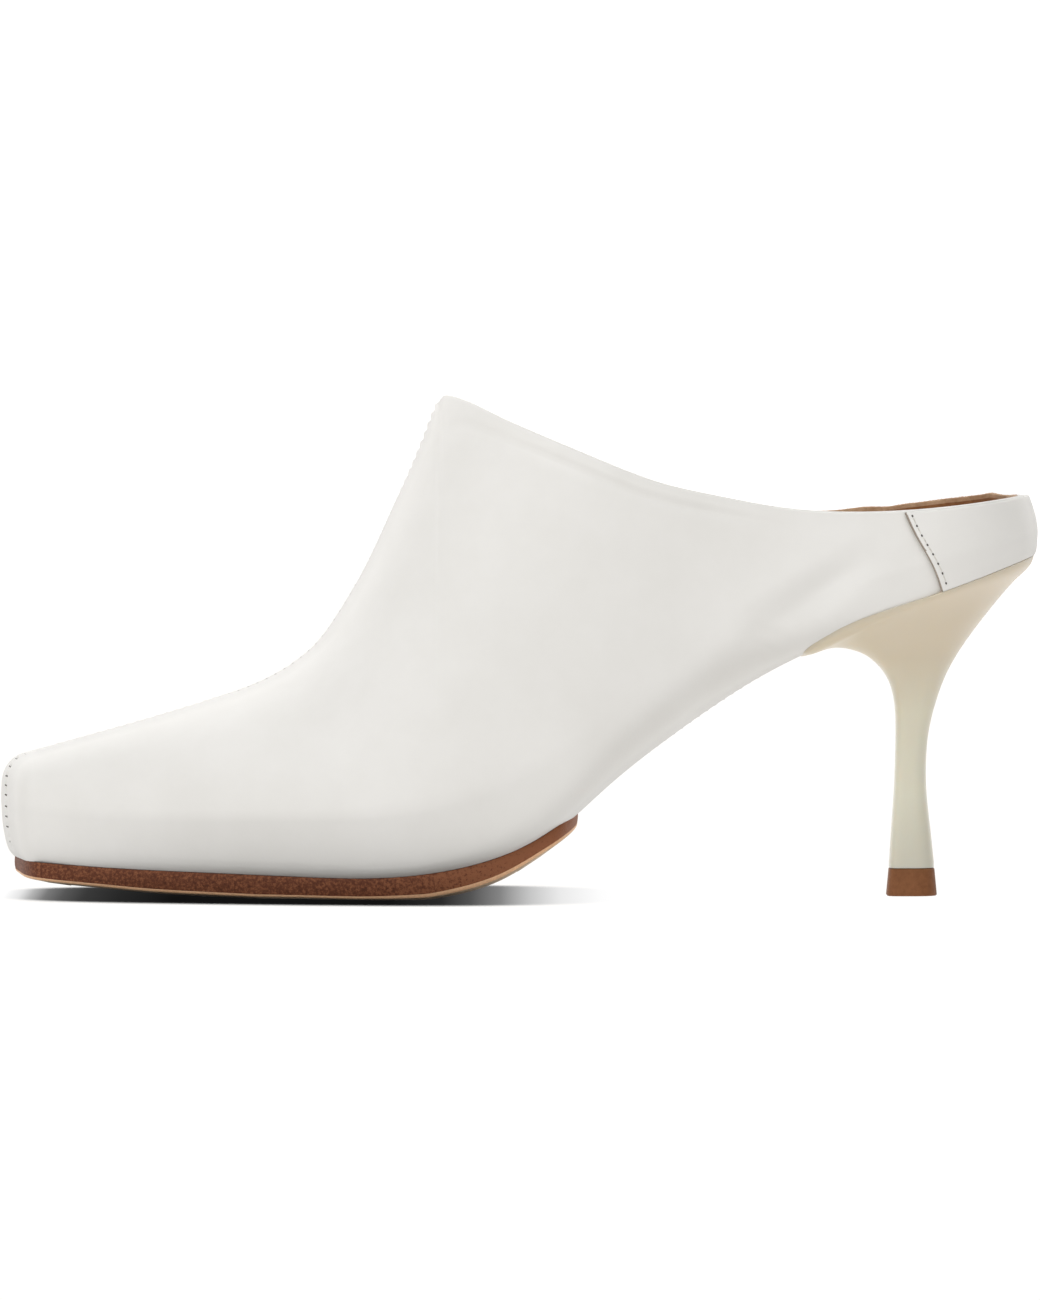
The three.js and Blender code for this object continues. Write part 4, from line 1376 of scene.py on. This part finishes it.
def make_footbed():
    """A closed pad that follows the inside of the lining at every height, a little dished on top."""
    across = np.linspace(0, 1, 25)[None, :, None]
    edges = {}
    for sign in (-1, 1):
        edges[sign] = np.stack([footbed_edge(sign, height) for height in FOOTBED_HEIGHTS], axis=1)
    middle = (edges[-1] + edges[1]) / 2
    width = np.linalg.norm(edges[1] - edges[-1], axis=2, keepdims=True)
    for sign in (-1, 1):
        edges[sign] = middle + (edges[sign] - middle) * (1 - 0.2 / np.maximum(width, 1))
    top = edges[-1][:, None, 0] * (1 - across) + edges[1][:, None, 0] * across
    bottom = edges[1][:, None, -1] * (1 - across) + edges[-1][:, None, -1] * across
    top[..., 2] += 0.5 * (np.abs(2 * across[..., 0] - 1) ** 4 - 1) * np.clip(width[:, 0] / 30, 0, 1)
    loop = np.concatenate([top, edges[1][:, 1:-1], bottom, edges[-1][:, -2::-1]], axis=1)
    bm = closed_form(loop)
    new_piece("footbed", bm, [footbed_leather], "insole_leather", "insole")


soft_at = np.array([station(column[0]) for column in soft.columns])
footbed_from = next(
    i for i, at in enumerate(soft_at)
    if lining_inside[1][i, 0, 2] < underside(at) + FOOTBED_HEIGHTS[-1] - 0.1)
make_footbed()


# The heel and its top lift

heel_rows = [{**row, "at": float(i)} for i, row in enumerate(HEEL_RINGS)]
heel_front = curve(heel_rows, lambda row: row["front"])
heel_front_up = curve(heel_rows, lambda row: row["front_up"])
heel_back = curve(heel_rows, lambda row: row["back"])
heel_back_up = curve(heel_rows, lambda row: row["back_up"])
heel_flare = curve(heel_rows, lambda row: row["flare"])


def smooth_step(share):
    share = np.clip(share, 0, 1)
    return share * share * (3 - 2 * share)


def d_shape(turn):
    """Places on a ring that is square at the breast and round at the back."""
    square = np.where(np.cos(turn) < 0, 2 / BREAST_SQUARENESS, 2 / BACK_SQUARENESS)
    along = np.sign(np.cos(turn)) * np.abs(np.cos(turn)) ** square
    across = np.sign(np.sin(turn)) * np.abs(np.sin(turn)) ** square
    return 0.5 + 0.5 * along, across


def heel_point(row, turn):
    """The heel's surface: row counts the table's rings, turn goes round."""
    share, across = d_shape(turn)
    front_x = HEEL_AXIS_X + heel_front(row) * SEAT_LENGTH
    back_x = HEEL_AXIS_X + heel_back(row) * SEAT_LENGTH
    front_z = heel_front_up(row) * SEAT_HEIGHT
    back_z = heel_back_up(row) * SEAT_HEIGHT
    half = 0.5 * (STEM_WIDTH + heel_flare(row) * (SEAT_WIDTH - STEM_WIDTH))
    x = front_x + (back_x - front_x) * share
    rise = smooth_step((row - 7) / 3) * HEEL_HUMP * 4 * share * (1 - share)
    z = front_z + (back_z - front_z) * share + rise
    return np.stack([x, half * across, z], axis=-1)


def even_turns(count):
    """Angles that space the points of a ring evenly."""
    turn = np.linspace(0, 2 * math.pi, 2881)
    share, across = d_shape(turn)
    reach = reach_along(np.stack([2 * share, across], axis=1))
    return np.interp(np.arange(count + 1) / count * reach[-1], reach, turn)


def seat_reach():
    """The leather's outline on the seat line: angles round the seat's centre and distances from it."""
    rows = []
    for points in fine.points[-1][fine.throat:]:
        if points[0, 0] > 58.0:
            gap = points[:, 2] - seat_line(points[:, 0]) - RIM_LIFT
            x, y = (np.interp(0, gap, points[:, axis]) for axis in (0, 1))
            over = straight(SEAT_OVER, x, "over")
            rows.append((math.atan2(abs(y), x - SEAT_CENTRE_X), math.hypot(x - SEAT_CENTRE_X, y) + over))
    return np.array(sorted(rows)).T


def fit_to_seat(line, angles, reaches):
    """Draw one line up the heel in or out at its top so that it ends flush with the leather."""
    top = line[-1]
    angle = math.atan2(abs(top[1]), top[0] - SEAT_CENTRE_X)
    grow = np.interp(angle, angles, reaches) / math.hypot(top[0] - SEAT_CENTRE_X, top[1])
    rise = smooth_step(1 - (top[2] - line[:, 2]) / RIM_BLEND)
    share = rise * (1 - smooth_step((math.degrees(angle) - 136) / 14))
    scale = 1 + (grow - 1) * share
    line[:, 0] = SEAT_CENTRE_X + (line[:, 0] - SEAT_CENTRE_X) * scale
    line[:, 1] *= scale
    line[:, 2] += (seat_line(line[-1, 0]) + RIM_LIFT - line[-1, 2]) * rise


def make_heel():
    turns = even_turns(HEEL_SIDES)
    angles, reaches = seat_reach()
    last = float(len(HEEL_RINGS) - 1)
    search = np.linspace(last - 1.6, last, 321)
    grid = np.zeros((HEEL_SIDES + 1, HEEL_ROWS + 3, 3))
    for k, turn in enumerate(turns):
        climb = heel_point(search, np.full(len(search), turn))
        above = climb[:, 2] - seat_line(climb[:, 0]) - RIM_LIFT
        stop = search[int(np.argmax(above > 0))]
        rows = np.linspace(0, stop, HEEL_ROWS + 1)
        rows[-2] = stop - 0.03
        line = heel_point(rows, np.full(len(rows), turn))
        fit_to_seat(line, angles, reaches)
        grid[k, 1:-1] = line
        grid[k, 1, :2] = grid[k, 2, :2]
        top = grid[k, -2]
        grid[k, -1] = (top[0] + (HEEL_AXIS_X - top[0]) * 0.16, top[1] * 0.86, top[2] + 0.3)
    floor_ring = grid[:, 1]
    grid[:, 0] = floor_ring.mean(axis=0)
    grid[-1] = grid[0]
    bm = closed_form(grid)
    sharpen(bm, 0.7)
    new_piece("moulded_heel", bm, [ivory], "heel_plastic", "heel")


def make_tip():
    """The top lift, a D-shaped slab with softened edges."""
    turns = even_turns(96)
    share, across = d_shape(turns)
    front_x = HEEL_AXIS_X + HEEL_RINGS[0]["front"] * SEAT_LENGTH
    back_x = HEEL_AXIS_X + HEEL_RINGS[0]["back"] * SEAT_LENGTH
    half_top = 0.5 * (STEM_WIDTH + HEEL_RINGS[0]["flare"] * (SEAT_WIDTH - STEM_WIDTH))
    spread = 0.5 * (TIP_LENGTH - (back_x - front_x))
    rings = []
    for row in TIP_RINGS:
        z = row["z"]
        grow = (1 - z / TIP_HEIGHT) * spread - row["inset"]
        half = half_top + (TIP_WIDTH / 2 - half_top) * (1 - z / TIP_HEIGHT) - row["inset"]
        x = front_x - grow + (back_x - front_x + 2 * grow) * share
        rings.append(np.stack([x, half * across, np.full(len(x), z)], axis=1))
    grid = np.stack(rings, axis=1)
    grid[-1] = grid[0]
    bm = closed_form(grid)
    sharpen(bm, 0.7)
    new_piece("top_lift", bm, [rubber], "tip_rubber", "heel_tip")


make_heel()
make_tip()


# Floor, light and camera


def white_card():
    """A lit white backdrop."""
    material, nodes, links, shader = new_material("white card")
    set_inputs(shader, {
        "Base Color": (0.5, 0.5, 0.5, 1),
        "Roughness": 1.0,
        "Specular IOR Level": 0.0,
        "Emission Color": (1, 0.98, 0.96, 1),
        "Emission Strength": 1.06,
    })
    return material


def floor_with_painted_shadow():
    """A glowing white floor with a painted shadow, dark only where the sole stands close over it."""
    material, nodes, links, shader = new_material("floor with painted shadow")
    set_inputs(shader, {"Base Color": (0, 0, 0, 1), "Specular IOR Level": 0.0, "Emission Strength": 1.06})
    place = nodes.new("ShaderNodeNewGeometry")
    split = nodes.new("ShaderNodeSeparateXYZ")
    links.new(place.outputs["Position"], split.inputs["Vector"])
    # The painted shadow's tone along the shoe, from SHADOW_ALONG.
    along = nodes.new("ShaderNodeMapRange")
    set_inputs(along, {"From Min": SHADOW_FROM, "From Max": SHADOW_FROM + SHADOW_OVER})
    links.new(split.outputs["X"], along.inputs["Value"])
    stops = [((row["x"] * MM - SHADOW_FROM) / SHADOW_OVER, (row["tone"],) * 3) for row in SHADOW_ALONG]
    tone = ramp(nodes, links, along.outputs["Result"], stops)
    # Ambient occlusion sets where the painted shadow lies; the open floor stays white.
    open_sky = nodes.new("ShaderNodeAmbientOcclusion")
    open_sky.samples = 32
    set_inputs(open_sky, {"Distance": 0.035})
    clear = nodes.new("ShaderNodeMapRange")
    clear.interpolation_type = "SMOOTHSTEP"
    set_inputs(clear, {"From Min": 0.64, "From Max": 0.8})
    links.new(open_sky.outputs["AO"], clear.inputs["Value"])
    shade = nodes.new("ShaderNodeMix")
    shade.data_type = "RGBA"
    links.new(clear.outputs["Result"], shade.inputs["Factor"])
    links.new(tone.outputs["Color"], shade.inputs["A"])
    set_inputs(shade, {"B": (1.0, 0.985, 0.965, 1)})
    links.new(shade.outputs["Result"], shader.inputs["Emission Color"])
    return material


def add_stage(name, matrix, material):
    bm = bmesh.new()
    bmesh.ops.create_grid(bm, x_segments=1, y_segments=1, size=6.0, matrix=matrix)
    mesh = bpy.data.meshes.new(name)
    bm.to_mesh(mesh)
    bm.free()
    mesh.materials.append(material)
    stage = bpy.data.objects.new(name, mesh)
    bpy.context.scene.collection.objects.link(stage)


def add_light(name, place, size, power, colour=(1, 1, 1)):
    data = bpy.data.lights.new(name, "AREA")
    data.shape = "RECTANGLE"
    data.size, data.size_y = size
    data.energy = power
    data.color = colour
    light = bpy.data.objects.new(name, data)
    light.location = place
    light.rotation_euler = (LOOK_AT - Vector(place)).to_track_quat("-Z", "Y").to_euler()
    bpy.context.scene.collection.objects.link(light)


def add_camera():
    data = bpy.data.cameras.new("camera")
    data.sensor_fit = "HORIZONTAL"
    data.sensor_width = 36.0
    data.lens = 36.0 * CAMERA_AWAY / (FRAME_WIDTH * PIXEL * MM)
    data.clip_end = 50
    camera = bpy.data.objects.new("camera", data)
    camera.location = (0, -CAMERA_AWAY, CAMERA_HEIGHT)
    camera.rotation_euler = (LOOK_AT - camera.location).to_track_quat("-Z", "Y").to_euler()
    bpy.context.scene.collection.objects.link(camera)
    bpy.context.scene.camera = camera


def add_world():
    world = bpy.data.worlds.new("studio")
    world.use_nodes = True
    set_inputs(world.node_tree.nodes["Background"], {"Color": (1, 1, 1, 1), "Strength": 0.04})
    bpy.context.scene.world = world


add_world()
add_stage("floor", Matrix.Translation((0, -3.2, 0)), floor_with_painted_shadow())
add_stage("backdrop", Matrix.Translation((0, 3.0, 0)) @ Matrix.Rotation(math.pi / 2, 4, "X"), white_card())
add_light("top", (0, 0, 2.2), (2.6, 2.6), 27.0)
add_light("front", (0, -1.9, 1.9), (2.4, 1.6), 32.5)
add_light("left", (-2.2, -1.2, 1.0), (1.6, 1.6), 12.5)
add_camera()
bpy.context.scene.view_settings.view_transform = "Standard"
